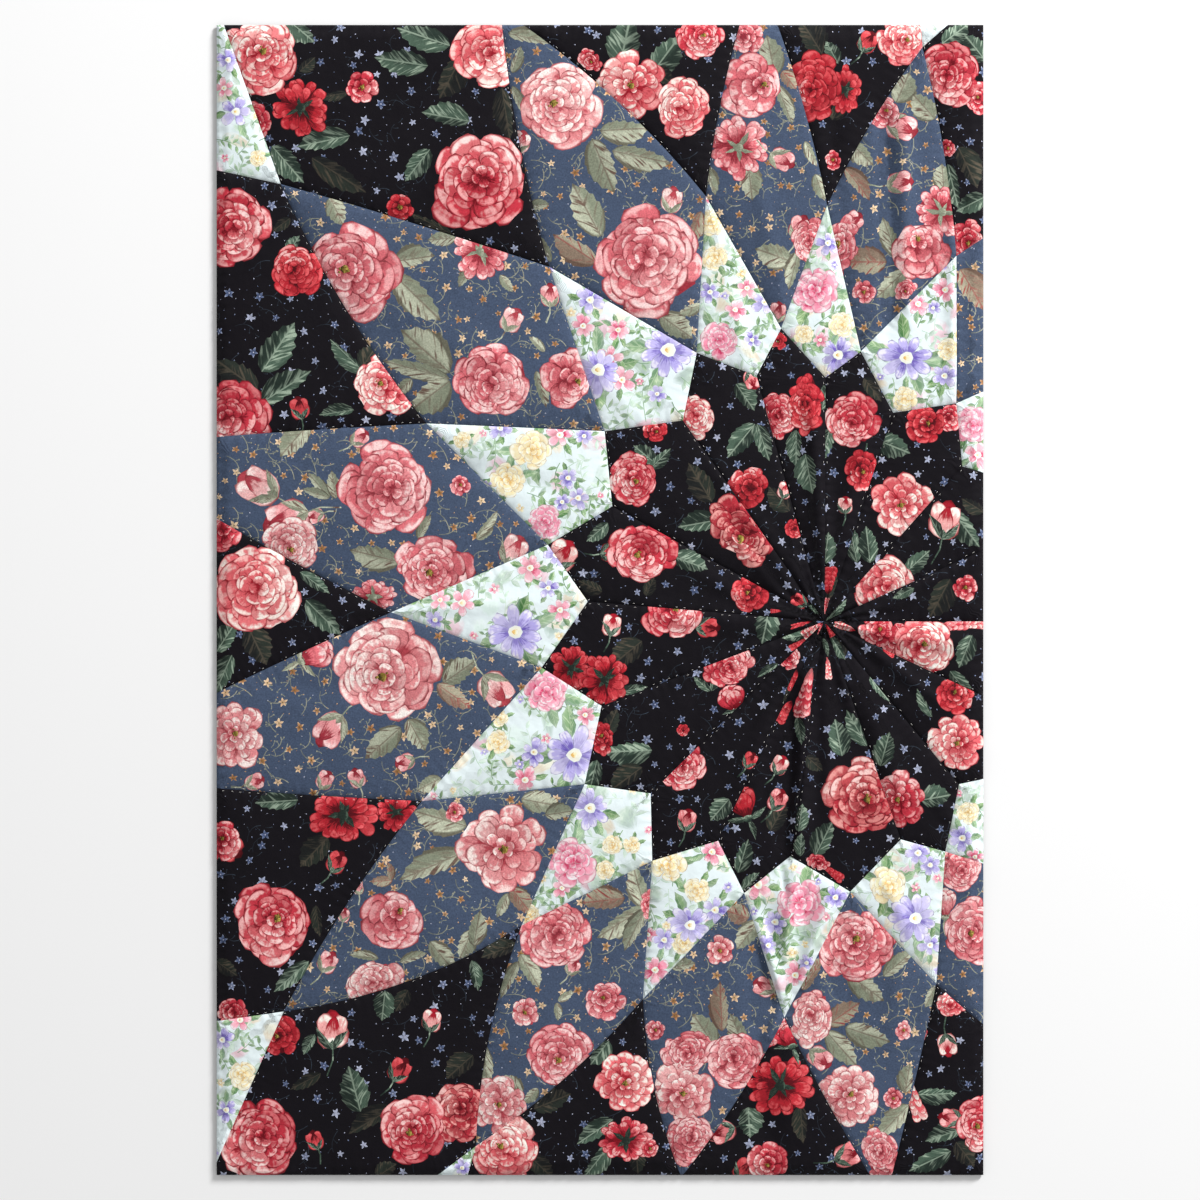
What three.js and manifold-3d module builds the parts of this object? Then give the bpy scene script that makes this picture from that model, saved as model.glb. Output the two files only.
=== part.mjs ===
import * as THREE from 'three';
import { mergeVertices } from 'three/addons/utils/BufferGeometryUtils.js';
import Module from 'manifold-3d';

// A cut length of a hand-quilted patchwork quilt with a giant dahlia: sixteen petals, each of a dark
// inner patch, a white kite and a blue kite, set in dark ground patches. Millimetres, +Z up, the
// underside flat on z = 0. The patches puff up between their seams, and pleats run out of the
// gathered heart of the flower. The cloth, wadding and backing are sewn together into one sheet.

// Driving dimensions
const CUT_WIDTH = 500;
const CUT_LENGTH = 750;
const SEAM_THICKNESS = 4.2;
const PUFF = 2.2;
const HEART_DIP = 1.6;
const HEART_DIP_RADIUS = 5;

// Rolled edge of the cut: height at the rim, and rise for each millimetre inwards
const EDGE_SLOPES = [
  { rimHeight: 1.8, rise: 1.1 },
  { rimHeight: 3.1, rise: 0.32 },
];

// Steps along one side of a patch, and rows from the heart to the end of a dark inner patch
const SIDE_STEPS = 6;
const INNER_ROWS = 11;
const ROW_CROWDING = 1.5;
const SEAM_CROWDING = 0.07;
const WELD_TOLERANCE = 0.002;

// A pleat fades out over this length at most at its ends, and starts to rise this share of it early
const FOLD_FADE = 24;
const FOLD_LEAD = 1 / 3;

// Slow rise and fall of the whole sheet, and the share of the seam thickness left in the deepest trough
const SWAY_ACROSS = { height: 0.45, xLength: 23, yLength: 31, xStart: 1.3, yStart: 0.4 };
const SWAY_SLANTED = { height: 0.35, xLength: 61, yLength: 47 };
const LEAST_SHARE = 0.6;

// How flat-topped a patch's puff is, how soon it rises from the heart and how sharply it ends
const PUFF_FLATNESS = 4;
const INNER_PUFF_RISE = 2;
const INNER_PUFF_END = 6;

const SLAB_BOTTOM = -20;
const CUTTER_HEIGHT = 60;

const HEART = [146, -14];

// One row for each petal, clockwise from nine o'clock, as [x, y]. inner and tip are the ends of its
// white kite, side is the corner it shares with the next white kite, blue is the far tip of the
// blue kite between the two, and ground is the far tip of the dark patch beyond this petal.
// bowOut is how far the two long edges of that blue kite swell outwards.
const PETALS = [
  {
    inner: [-8, -1], side: [-34, 36], tip: [-136, -8],
    blue: [-327, 100], ground: [-456, -7], bowOut: [3, 1],
  },
  {
    inner: [8, 61], side: [3, 110], tip: [-113, 115],
    blue: [-208, 271], ground: [-332, 298], bowOut: [6, 1],
  },
  {
    inner: [54, 117], side: [63, 161], tip: [-33, 217],
    blue: [-65, 385], ground: [-267, 436], bowOut: [4, 7],
  },
  {
    inner: [102, 146], side: [118, 177], tip: [69, 263],
    blue: [102, 410], ground: [13, 508], bowOut: [4, 4],
  },
  {
    inner: [147, 145], side: [170, 162], tip: [148, 257],
    blue: [210, 360], ground: [202, 469], bowOut: [3, 3],
  },
  {
    inner: [191, 122], side: [232, 128], tip: [232, 224],
    blue: [358, 296], ground: [301, 441], bowOut: [3, 3],
  },
  {
    inner: [236, 87], side: [283, 74], tip: [329, 171],
    blue: [456, 176], ground: [475, 312], bowOut: [3, 3],
  },
  {
    inner: [271, 42], side: [316, 13], tip: [384, 81],
    blue: [521, 26], ground: [573, 143], bowOut: [3, 3],
  },
  {
    inner: [283, -14], side: [316, -42], tip: [406, -16],
    blue: [521, -111], ground: [618, -33], bowOut: [3, 3],
  },
  {
    inner: [270, -72], side: [286, -109], tip: [384, -124],
    blue: [456, -247], ground: [553, -208], bowOut: [3, 3],
  },
  {
    inner: [234, -120], side: [225, -164], tip: [324, -195],
    blue: [345, -335], ground: [456, -345], bowOut: [3, 6],
  },
  {
    inner: [196, -156], side: [163, -190], tip: [219, -250],
    blue: [186, -391], ground: [286, -456], bowOut: [1, 2],
  },
  {
    inner: [124, -167], side: [94, -191], tip: [120, -272],
    blue: [53, -376], ground: [124, -521], bowOut: [3, 5],
  },
  {
    inner: [77, -157], side: [34, -170], tip: [28, -260],
    blue: [-81, -356], ground: [-107, -449], bowOut: [5, 6],
  },
  {
    inner: [33, -126], side: [-10, -120], tip: [-51, -212],
    blue: [-206, -268], ground: [-329, -544], bowOut: [9, 4],
  },
  {
    inner: [1, -69], side: [-38, -44], tip: [-116, -131],
    blue: [-350, -113], ground: [-391, -295], bowOut: [2, 3],
  },
];

// Pleats and troughs of the cloth as it lies: from and to are [x, y], width is the distance from the
// crest at which it has fallen to a third, and a negative height is a trough.
const FOLDS = [
  { name: 'south pleat', from: [136, -32], to: [128, -171], width: 6, height: 5.5 },
  { name: 'south trough', from: [124, -60], to: [119, -172], width: 6, height: -3.0 },
  { name: 'south pleat across the kite', from: [128, -171], to: [117, -240], width: 6, height: 3.6 },
  { name: 'kite ripple', from: [154, -180], to: [130, -252], width: 6, height: 3.8 },
  { name: 'kite trough', from: [110, -196], to: [107, -286], width: 7, height: -3.0 },
  { name: 'north pleat', from: [147, 4], to: [138, 136], width: 6, height: 4.4 },
  { name: 'north-east pleat', from: [156, 20], to: [174, 120], width: 7, height: 2.8 },
  { name: 'north-west pleat', from: [131, 6], to: [66, 100], width: 8, height: 2.6 },
  { name: 'west pleat', from: [124, -15], to: [22, -8], width: 8, height: 2.4 },
  { name: 'south-west pleat', from: [131, -34], to: [86, -132], width: 7, height: 3 },
  { name: 'south-east pleat', from: [158, -36], to: [199, -132], width: 8, height: 2.6 },
  { name: 'east pleat', from: [162, -18], to: [250, -30], width: 7, height: 2.8 },
  { name: 'heart twist', from: [146, -14], to: [163, 2], width: 3, height: 3.2 },
  { name: 'heart twist', from: [146, -14], to: [131, -25], width: 3, height: 3.4 },
  { name: 'heart twist', from: [146, -14], to: [156, -27], width: 3, height: 2.6 },
  { name: 'heart twist', from: [146, -14], to: [140, 2], width: 3, height: 2.8 },
  { name: 'upper right trough', from: [184, 325], to: [187, 170], width: 5, height: -2.6 },
  { name: 'upper right ripple', from: [197, 325], to: [201, 172], width: 6, height: 3.2 },
  { name: 'right edge ripple', from: [229, 262], to: [231, 128], width: 5, height: 2.8 },
  { name: 'bottom trough', from: [98, -318], to: [116, -366], width: 10, height: -2.6 },
  { name: 'lower swell', from: [30, -330], to: [180, -322], width: 20, height: 1.6 },
  { name: 'left swell', from: [-176, -170], to: [-60, -236], width: 26, height: 1.8 },
  { name: 'upper swell', from: [-190, 236], to: [-40, 330], width: 28, height: 1.8 },
];

const QUILT_MATERIAL = new THREE.MeshStandardMaterial({ color: 0x3a3340, roughness: 0.85, metalness: 0 });

function between(a, b, t) {
  return [a[0] + (b[0] - a[0]) * t, a[1] + (b[1] - a[1]) * t];
}

// Even steps, drawn a little towards both ends so that the cloth dips sharply at its seams
function crowdedToSeams(t) {
  return t - SEAM_CROWDING * Math.sin(2 * Math.PI * t);
}

// A seam from a to b that swells sideways by bow, to the left as seen from a
function seam(a, b, bow = 0) {
  const length = Math.hypot(b[0] - a[0], b[1] - a[1]);
  const left = [-(b[1] - a[1]) / length, (b[0] - a[0]) / length];
  return (t) => {
    const s = crowdedToSeams(t);
    const p = between(a, b, s);
    const out = 4 * bow * s * (1 - s);
    return [p[0] + left[0] * out, p[1] + left[1] * out];
  };
}

// Pleat height at a point: a soft ridge that fades out beyond both of its ends
function foldHeight(fold, x, y) {
  const along = [fold.to[0] - fold.from[0], fold.to[1] - fold.from[1]];
  const length = Math.hypot(along[0], along[1]);
  const t = ((x - fold.from[0]) * along[0] + (y - fold.from[1]) * along[1]) / length;
  const side = ((x - fold.from[0]) * along[1] - (y - fold.from[1]) * along[0]) / length;
  const fade = Math.min(FOLD_FADE, length / 2);
  const reach = THREE.MathUtils.smoothstep(t, -fade * FOLD_LEAD, fade)
    * THREE.MathUtils.smoothstep(length - t, -fade * FOLD_LEAD, fade);
  return fold.height * reach * Math.exp(-((side / fold.width) ** 2));
}

function swayHeight(x, y) {
  const { height, xLength, yLength, xStart, yStart } = SWAY_ACROSS;
  const across = height * Math.sin(x / xLength + xStart) * Math.sin(y / yLength + yStart);
  return across + SWAY_SLANTED.height * Math.sin(x / SWAY_SLANTED.xLength - y / SWAY_SLANTED.yLength);
}

// Height of the top face along the seams; the puff of a patch is added to it
function seamHeight(x, y) {
  const fromHeart = Math.hypot(x - HEART[0], y - HEART[1]);
  const dip = HEART_DIP * Math.exp(-((fromHeart / HEART_DIP_RADIUS) ** 2));
  const folds = FOLDS.reduce((sum, fold) => sum + foldHeight(fold, x, y), 0);
  return Math.max(SEAM_THICKNESS * LEAST_SHARE, SEAM_THICKNESS + swayHeight(x, y) + folds - dip);
}

// Puff across a patch, for t from 0 at one seam to 1 at the other
function puff(t) {
  return 1 - (2 * t - 1) ** PUFF_FLATNESS;
}

const triangles = [];

// Adds the two triangles of each cell of a grid of points, counter-clockwise as seen from above
function addGrid(grid) {
  for (let i = 0; i + 1 < grid.length; i += 1) {
    for (let j = 0; j + 1 < grid[i].length; j += 1) {
      const [a, b, c, d] = [grid[i][j], grid[i + 1][j], grid[i + 1][j + 1], grid[i][j + 1]];
      triangles.push([a, b, c], [a, c, d]);
    }
  }
}

// A kite-shaped patch between four corners: near, left, far and right of it in clockwise order.
// The edges left to far and right to far may swell outwards, or inwards where the bow is negative.
function addKite(near, left, far, right, bowLeft = 0, bowRight = 0) {
  const edges = {
    nearRight: seam(near, right),
    leftFar: seam(left, far, bowLeft),
    nearLeft: seam(near, left),
    rightFar: seam(right, far, -bowRight),
  };
  const grid = [];
  for (let i = 0; i <= SIDE_STEPS; i += 1) {
    const u = i / SIDE_STEPS;
    const row = [];
    for (let j = 0; j <= SIDE_STEPS; j += 1) {
      const v = j / SIDE_STEPS;
      const [su, sv] = [crowdedToSeams(u), crowdedToSeams(v)];
      const point = [0, 1].map((axis) => (
        (1 - sv) * edges.nearRight(u)[axis] + sv * edges.leftFar(u)[axis]
        + (1 - su) * edges.nearLeft(v)[axis] + su * edges.rightFar(v)[axis]
        - (1 - su) * (1 - sv) * near[axis] - su * (1 - sv) * right[axis]
        - (1 - su) * sv * left[axis] - su * sv * far[axis]
      ));
      row.push([point[0], point[1], seamHeight(...point) + PUFF * puff(su) * puff(sv)]);
    }
    grid.push(row);
  }
  addGrid(grid);
}

// A dark inner patch: straight rows of points from the heart to its two outer seams
function addInnerPatch(innerHere, side, innerNext) {
  const rim = [];
  for (const edge of [seam(innerHere, side), seam(side, innerNext)]) {
    for (let j = rim.length ? 1 : 0; j <= SIDE_STEPS; j += 1) rim.push(edge(j / SIDE_STEPS));
  }
  const grid = [];
  for (let i = 1; i <= INNER_ROWS; i += 1) {
    const reach = (i / INNER_ROWS) ** ROW_CROWDING;
    grid.push(rim.map((end, j) => {
      const point = between(HEART, end, reach);
      const across = puff(j / (rim.length - 1));
      const along = Math.min(1, INNER_PUFF_RISE * reach) * (1 - reach ** INNER_PUFF_END);
      return [point[0], point[1], seamHeight(...point) + PUFF * across * along];
    }));
  }
  const heart = [HEART[0], HEART[1], seamHeight(...HEART)];
  addGrid(grid.map((row) => [...row].reverse()));
  for (let j = 0; j + 1 < rim.length; j += 1) triangles.push([heart, grid[0][j + 1], grid[0][j]]);
}

// The far tip of a white patch beyond a blue kite, opposite to the blue kite's own tip
function farTip(blue, groundHere, groundNext) {
  return [groundHere[0] + groundNext[0] - blue[0], groundHere[1] + groundNext[1] - blue[1]];
}

function addPetals() {
  PETALS.forEach((petal, index) => {
    const next = PETALS[(index + 1) % PETALS.length];
    const previous = PETALS[(index + PETALS.length - 1) % PETALS.length];
    addInnerPatch(petal.inner, petal.side, next.inner);
    addKite(petal.inner, previous.side, petal.tip, petal.side);
    addKite(petal.side, petal.tip, petal.blue, next.tip, petal.bowOut[0], petal.bowOut[1]);
    addGroundPatch(previous, petal);
    addKite(petal.blue, petal.ground, farTip(petal.blue, petal.ground, next.ground), next.ground);
  });
}

// The dark patch beyond a petal's tip: its near edges are the blue kites' edges, so it is turned round
function addGroundPatch(previous, petal) {
  addKite(petal.ground, petal.blue, petal.tip, previous.blue, -petal.bowOut[0], -previous.bowOut[1]);
}

// Closes the top face into a slab with walls and a fan below, deeper than the cut
function closeSlab() {
  const key = (p) => p.map((value) => value.toFixed(2)).join(' ');
  const open = new Map();
  for (const triangle of triangles) {
    triangle.forEach((a, i) => {
      const b = triangle[(i + 1) % 3];
      const back = `${key(b)}|${key(a)}`;
      if (open.has(back)) open.delete(back);
      else open.set(`${key(a)}|${key(b)}`, [a, b]);
    });
  }
  const below = (p) => [p[0], p[1], SLAB_BOTTOM];
  const middle = [HEART[0], HEART[1], SLAB_BOTTOM];
  for (const [a, b] of open.values()) {
    triangles.push([a, below(a), b], [b, below(a), below(b)], [middle, below(b), below(a)]);
  }
}

function geometryOf(corners) {
  const geometry = new THREE.BufferGeometry();
  geometry.setAttribute('position', new THREE.Float32BufferAttribute(corners.flat(2), 3));
  return geometry;
}

function solidOf(wasm, geometry) {
  geometry.deleteAttribute('normal');
  geometry.deleteAttribute('uv');
  const merged = mergeVertices(geometry, WELD_TOLERANCE);
  return new wasm.Manifold(new wasm.Mesh({
    numProp: 3,
    vertProperties: new Float32Array(merged.attributes.position.array),
    triVerts: new Uint32Array(merged.index.array),
  }));
}

// A block over the cut whose four walls lean inwards above the rim
function edgeCutter({ rimHeight, rise }) {
  const block = new THREE.BoxGeometry(CUT_WIDTH, CUT_LENGTH, CUTTER_HEIGHT);
  const position = block.attributes.position;
  const inset = (CUTTER_HEIGHT - rimHeight) / rise;
  const bottomInset = -rimHeight / rise;
  for (let i = 0; i < position.count; i += 1) {
    const drawIn = position.getZ(i) > 0 ? inset : bottomInset;
    position.setX(i, position.getX(i) - Math.sign(position.getX(i)) * drawIn);
    position.setY(i, position.getY(i) - Math.sign(position.getY(i)) * drawIn);
  }
  return block.translate(0, 0, CUTTER_HEIGHT / 2);
}

async function makeQuilt() {
  const wasm = await Module();
  wasm.setup();
  addPetals();
  closeSlab();
  const cutBlock = new THREE.BoxGeometry(CUT_WIDTH, CUT_LENGTH, CUTTER_HEIGHT);
  cutBlock.translate(0, 0, CUTTER_HEIGHT / 2);
  let solid = solidOf(wasm, geometryOf(triangles)).intersect(solidOf(wasm, cutBlock));
  for (const slope of EDGE_SLOPES) solid = solid.intersect(solidOf(wasm, edgeCutter(slope)));
  const { vertProperties, triVerts } = solid.getMesh();
  const geometry = new THREE.BufferGeometry();
  geometry.setAttribute('position', new THREE.BufferAttribute(vertProperties, 3));
  geometry.setIndex(new THREE.BufferAttribute(triVerts, 1));
  geometry.computeVertexNormals();
  const quilt = new THREE.Mesh(geometry, QUILT_MATERIAL);
  quilt.name = 'quilt';
  return quilt;
}

const group = new THREE.Group();
group.add(await makeQuilt());

export default group;
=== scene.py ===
"""The looks of a cut length of a hand-quilted dahlia patchwork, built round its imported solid.

Each patch is its own mesh. Its printed flowers are drawn as outlines, cut into the cloth's own
surface, so that every petal and leaf is a group of faces with its own colours. Lengths in this
script are millimetres until a mesh is made. Places of printed motifs are pixels of the 1200 x 1200
photograph, named x_px and y_px, and their sizes are real ones.
"""
import math
import random

import bpy
import numpy as np
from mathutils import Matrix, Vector
from mathutils.geometry import delaunay_2d_cdt


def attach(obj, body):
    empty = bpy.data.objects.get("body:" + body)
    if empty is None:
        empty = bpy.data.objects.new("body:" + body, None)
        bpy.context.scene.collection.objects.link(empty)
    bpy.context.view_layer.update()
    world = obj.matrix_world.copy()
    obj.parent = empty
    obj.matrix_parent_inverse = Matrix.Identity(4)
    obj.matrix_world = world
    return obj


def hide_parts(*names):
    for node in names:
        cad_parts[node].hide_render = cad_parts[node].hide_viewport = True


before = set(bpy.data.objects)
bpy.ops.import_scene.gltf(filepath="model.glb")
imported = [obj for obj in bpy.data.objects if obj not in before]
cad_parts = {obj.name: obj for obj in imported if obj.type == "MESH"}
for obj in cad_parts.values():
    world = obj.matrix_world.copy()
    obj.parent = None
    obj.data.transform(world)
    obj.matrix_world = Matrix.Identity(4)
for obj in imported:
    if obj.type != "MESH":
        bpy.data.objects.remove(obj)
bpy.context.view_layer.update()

# Driving dimensions, in millimetres
METRE = 0.001
CUT_WIDTH = 500
CUT_LENGTH = 750
SEAM_THICKNESS = 4.2
SEAM_TUCK = 0.9
SEAM_TUCK_REACH = 1.5
SEAM_SINK = 0.6
PUFF = 1.9
PUFF_REACH = 13
HEART = (146, -14)
HEART_DIP = 1.6
HEART_DIP_RADIUS = 5

# Rolled edge of the cut: height at the rim and rise for each millimetre inwards
EDGE_SLOPES = ((1.8, 1.1), (3.1, 0.32))
EDGE_WIDTH = 4

# Slow rise and fall of the whole sheet, the same as the solid's: height, the lengths along x and y,
# and for the first one where its waves start
SWAY_ACROSS = (0.45, 23, 31, 1.3, 0.4)
SWAY_SLANTED = (0.35, 61, 47)
LEAST_SHARE = 0.6

# A fold fades out over this length at most at its ends, and starts to rise a third of it early
FOLD_FADE = 24
FOLD_LEAD = 3

# Fine gathers round the heart: how many, how far they swing aside and how often, how far out they
# turn by one radian, and the radii between which they rise
RIPPLE_HEIGHT = 0.9
RIPPLE_COUNT = 21
RIPPLE_REACH = 40
RIPPLE_SWING = 1.7
RIPPLE_SWINGS = 3
RIPPLE_TWIST = 19
RIPPLE_START = (1, 9)

# The photograph's frame: the cloth fills a rectangle of it
PHOTO_SIZE_PX = 1200
PHOTO_CLOTH_WIDTH_PX = 768
MM_PER_PX = CUT_WIDTH / PHOTO_CLOTH_WIDTH_PX

# Mesh steps, and what is too small to keep: a sliver of a patch in square mm, a stretch of outline in
# mm, and twice a triangle's area in square mm
SEAM_STEPS = 24
OUTLINE_STEP = 4.0
LATTICE_STEP = 4.4
HEART_STEP = 1.8
HEART_REACH = 46
TUCK_ROWS = (0.8, 2.2)
SMALLEST_PATCH = 12
SHORTEST_STRETCH = 0.02
SMALLEST_TRIANGLE = 1e-5
SLOPE_STEP = 0.3

# Rows of points along a fold that is steeper than the lattice can show: places aside, in fold widths
CREASE_STEP = 3.2
CREASE_ROWS = (-1.3, -0.65, 0, 0.65, 1.3)
STEEPEST_LEFT_TO_LATTICE = 0.45

# One row for each petal, clockwise from nine o'clock: the ends of its white kite with the corner that it
# shares with the next kite between them, the far tip of the blue kite between the two, the far tip of
# the ground patch beyond this petal, and how far the blue kite's two long edges swell outwards.
PETAL_PLACES = ("inner", "side", "tip", "blue", "ground", "bow")
PETALS = [dict(zip(PETAL_PLACES, row)) for row in (
    ((-8, -1), (-34, 36), (-136, -8), (-327, 100), (-456, -7), (3, 1)),
    ((8, 61), (3, 110), (-113, 115), (-208, 271), (-332, 298), (6, 1)),
    ((54, 117), (63, 161), (-33, 217), (-65, 385), (-267, 436), (4, 7)),
    ((102, 146), (118, 177), (69, 263), (102, 410), (13, 508), (4, 4)),
    ((147, 145), (170, 162), (148, 257), (210, 360), (202, 469), (3, 3)),
    ((191, 122), (232, 128), (232, 224), (358, 296), (301, 441), (3, 3)),
    ((236, 87), (283, 74), (329, 171), (456, 176), (475, 312), (3, 3)),
    ((271, 42), (316, 13), (384, 81), (521, 26), (573, 143), (3, 3)),
    ((283, -14), (316, -42), (406, -16), (521, -111), (618, -33), (3, 3)),
    ((270, -72), (286, -109), (384, -124), (456, -247), (553, -208), (3, 3)),
    ((234, -120), (225, -164), (324, -195), (345, -335), (456, -345), (3, 6)),
    ((196, -156), (163, -190), (219, -250), (186, -391), (286, -456), (1, 2)),
    ((124, -167), (94, -191), (120, -272), (53, -376), (124, -521), (3, 5)),
    ((77, -157), (34, -170), (28, -260), (-81, -356), (-107, -449), (5, 6)),
    ((33, -126), (-10, -120), (-51, -212), (-206, -268), (-329, -544), (9, 4)),
    ((1, -69), (-38, -44), (-116, -131), (-350, -113), (-391, -295), (2, 3)),
)]

# Pleats and troughs, the same as the solid's: start, end, width and height
FOLDS = (
    ((136, -32), (128, -171), 6, 5.5),
    ((124, -60), (119, -172), 6, -3.0),
    ((128, -171), (117, -240), 6, 3.6),
    ((154, -180), (130, -252), 6, 3.8),
    ((110, -196), (107, -286), 7, -3.0),
    ((147, 4), (138, 136), 6, 4.4),
    ((156, 20), (174, 120), 7, 2.8),
    ((131, 6), (66, 100), 8, 2.6),
    ((124, -15), (22, -8), 8, 2.4),
    ((131, -34), (86, -132), 7, 3),
    ((158, -36), (199, -132), 8, 2.6),
    ((162, -18), (250, -30), 7, 2.8),
    ((146, -14), (163, 2), 3, 3.2),
    ((146, -14), (131, -25), 3, 3.4),
    ((146, -14), (156, -27), 3, 2.6),
    ((146, -14), (140, 2), 3, 2.8),
    ((184, 325), (187, 170), 5, -2.6),
    ((197, 325), (201, 172), 6, 3.2),
    ((229, 262), (231, 128), 5, 2.8),
    ((98, -318), (116, -366), 10, -2.6),
    ((30, -330), (180, -322), 20, 1.6),
    ((-176, -170), (-60, -236), 26, 1.8),
    ((-190, 236), (-40, 330), 28, 1.8),
)

# Small creases that only this script adds, as they are finer than the solid's: start, end, width, height
CREASES = (
    ((102, -206), (119, -264), 4.4, 6.0),
    ((118, -268), (104, -294), 4.4, 5.0),
    ((153, -234), (160, -267), 7, -3.2),
    ((128, -262), (150, -222), 5, 2.2),
    ((99, -216), (105, -292), 8, -2.4),
    ((152, -188), (128, -248), 3, 2.2),
    ((143, -184), (122, -240), 3, -2.0),
    ((118, -172), (122, -200), 2.5, -1.8),
    ((124, -196), (120, -232), 3.5, 1.8),
    ((140, -176), (133, -206), 3, 1.4),
    ((152, -30), (170, -92), 4, 1.6),
    ((120, 2), (76, 52), 4, 1.4),
    ((170, -8), (236, 22), 4, 1.4),
    ((166, -24), (228, -72), 4, 1.6),
    ((118, -24), (50, -52), 4, 1.6),
    ((112, -8), (36, 34), 5, 1.2),
    ((146, -36), (150, -150), 5, 1.8),
    ((122, -36), (104, -150), 4, -1.4),
    ((100, 130), (84, 200), 5, 1.2),
    ((40, 100), (-20, 170), 7, 1.2),
    ((-20, 70), (-110, 92), 7, -1.2),
    ((-36, 0), (-132, -6), 6, 1.2),
    ((-30, -80), (-110, -128), 7, 1.4),
    ((36, -180), (20, -250), 6, -1.3),
    ((66, -176), (50, -250), 5, 1.2),
    ((178, -170), (214, -240), 5, 1.4),
    ((198, -180), (190, -300), 7, 1.4),
    ((120, 180), (92, 330), 7, 1.3),
    ((160, 190), (150, 330), 6, -1.3),
    ((-60, 150), (-170, 210), 12, 1.2),
    ((-150, 60), (-240, 40), 12, 1.2),
    ((-140, -60), (-240, -52), 10, -1.2),
    ((-90, -180), (-170, -260), 12, 1.3),
    ((-20, -250), (-70, -350), 12, 1.3),
    ((212, 40), (246, 60), 5, 1.4),
    ((206, -120), (248, -160), 5, 1.2),
    ((60, -60), (30, -120), 6, 1.2),
    ((64, 20), (10, 40), 6, -1.2),
)


def tone(red, green, blue):
    """A colour given as it looks on a screen, 0 to 255, as the linear light that shaders use."""
    screen = np.array((red, green, blue), float) / 255
    return np.where(screen <= 0.04045, screen / 12.92, ((screen + 0.055) / 1.055) ** 2.4)


# Ground colour of each cloth, and its printed inks as (dark, middle, light); one of them, shaded_rose, is the
# rose ink darkened as painted shade. A leaf's inks are those of its shaded half, its lit half and its veins.
GROUNDS = {
    "black": tone(12, 8, 15),
    "blue": tone(67, 80, 103),
    "white": tone(228, 240, 242),
}
INKS = {
    "deep": (tone(86, 6, 18), tone(184, 36, 48), tone(224, 96, 100)),
    "rose": (tone(122, 10, 26), tone(200, 54, 69), tone(248, 186, 184)),
    # The rose inks darkened: painted shade for roses that lie in the shadow of the cloth's folds
    "shaded_rose": (tone(102, 8, 22), tone(176, 46, 58), tone(234, 160, 154)),
    "pale": (tone(166, 26, 42), tone(226, 104, 110), tone(255, 240, 230)),
    "salmon": (tone(148, 44, 56), tone(213, 107, 115), tone(248, 206, 204)),
    "peach": (tone(172, 64, 74), tone(222, 138, 141), tone(250, 230, 224)),
    "leaf_black": (tone(32, 44, 38), tone(72, 92, 78), tone(160, 178, 158)),
    "shade_black": (tone(24, 26, 26), tone(40, 46, 40), tone(84, 76, 64)),
    "leaf_blue": (tone(132, 138, 118), tone(180, 184, 162), tone(100, 74, 64)),
    "shade_blue": (tone(134, 116, 100), tone(166, 160, 138), tone(150, 62, 62)),
    "star_black": (tone(66, 78, 108), tone(104, 118, 152), tone(196, 200, 220)),
    "star_blue": (tone(142, 98, 64), tone(194, 148, 104), tone(242, 218, 184)),
    "vine_black": (tone(26, 30, 38), tone(40, 47, 57), tone(56, 66, 78)),
    "vine_blue": (tone(108, 112, 108), tone(136, 138, 124), tone(162, 160, 142)),
    "stamen": (tone(62, 48, 18), tone(128, 108, 44), tone(186, 164, 84)),
    "dot": (tone(120, 124, 150), tone(170, 174, 196), tone(226, 226, 236)),
    "lilac": (tone(106, 88, 180), tone(178, 168, 228), tone(236, 232, 250)),
    "pink": (tone(206, 58, 100), tone(240, 150, 174), tone(253, 230, 232)),
    "yellow": (tone(226, 180, 100), tone(246, 230, 184), tone(253, 250, 230)),
    "green": (tone(66, 116, 62), tone(128, 166, 108), tone(196, 214, 172)),
    "mist": (tone(182, 208, 188), tone(208, 226, 212), tone(226, 238, 230)),
}

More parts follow.
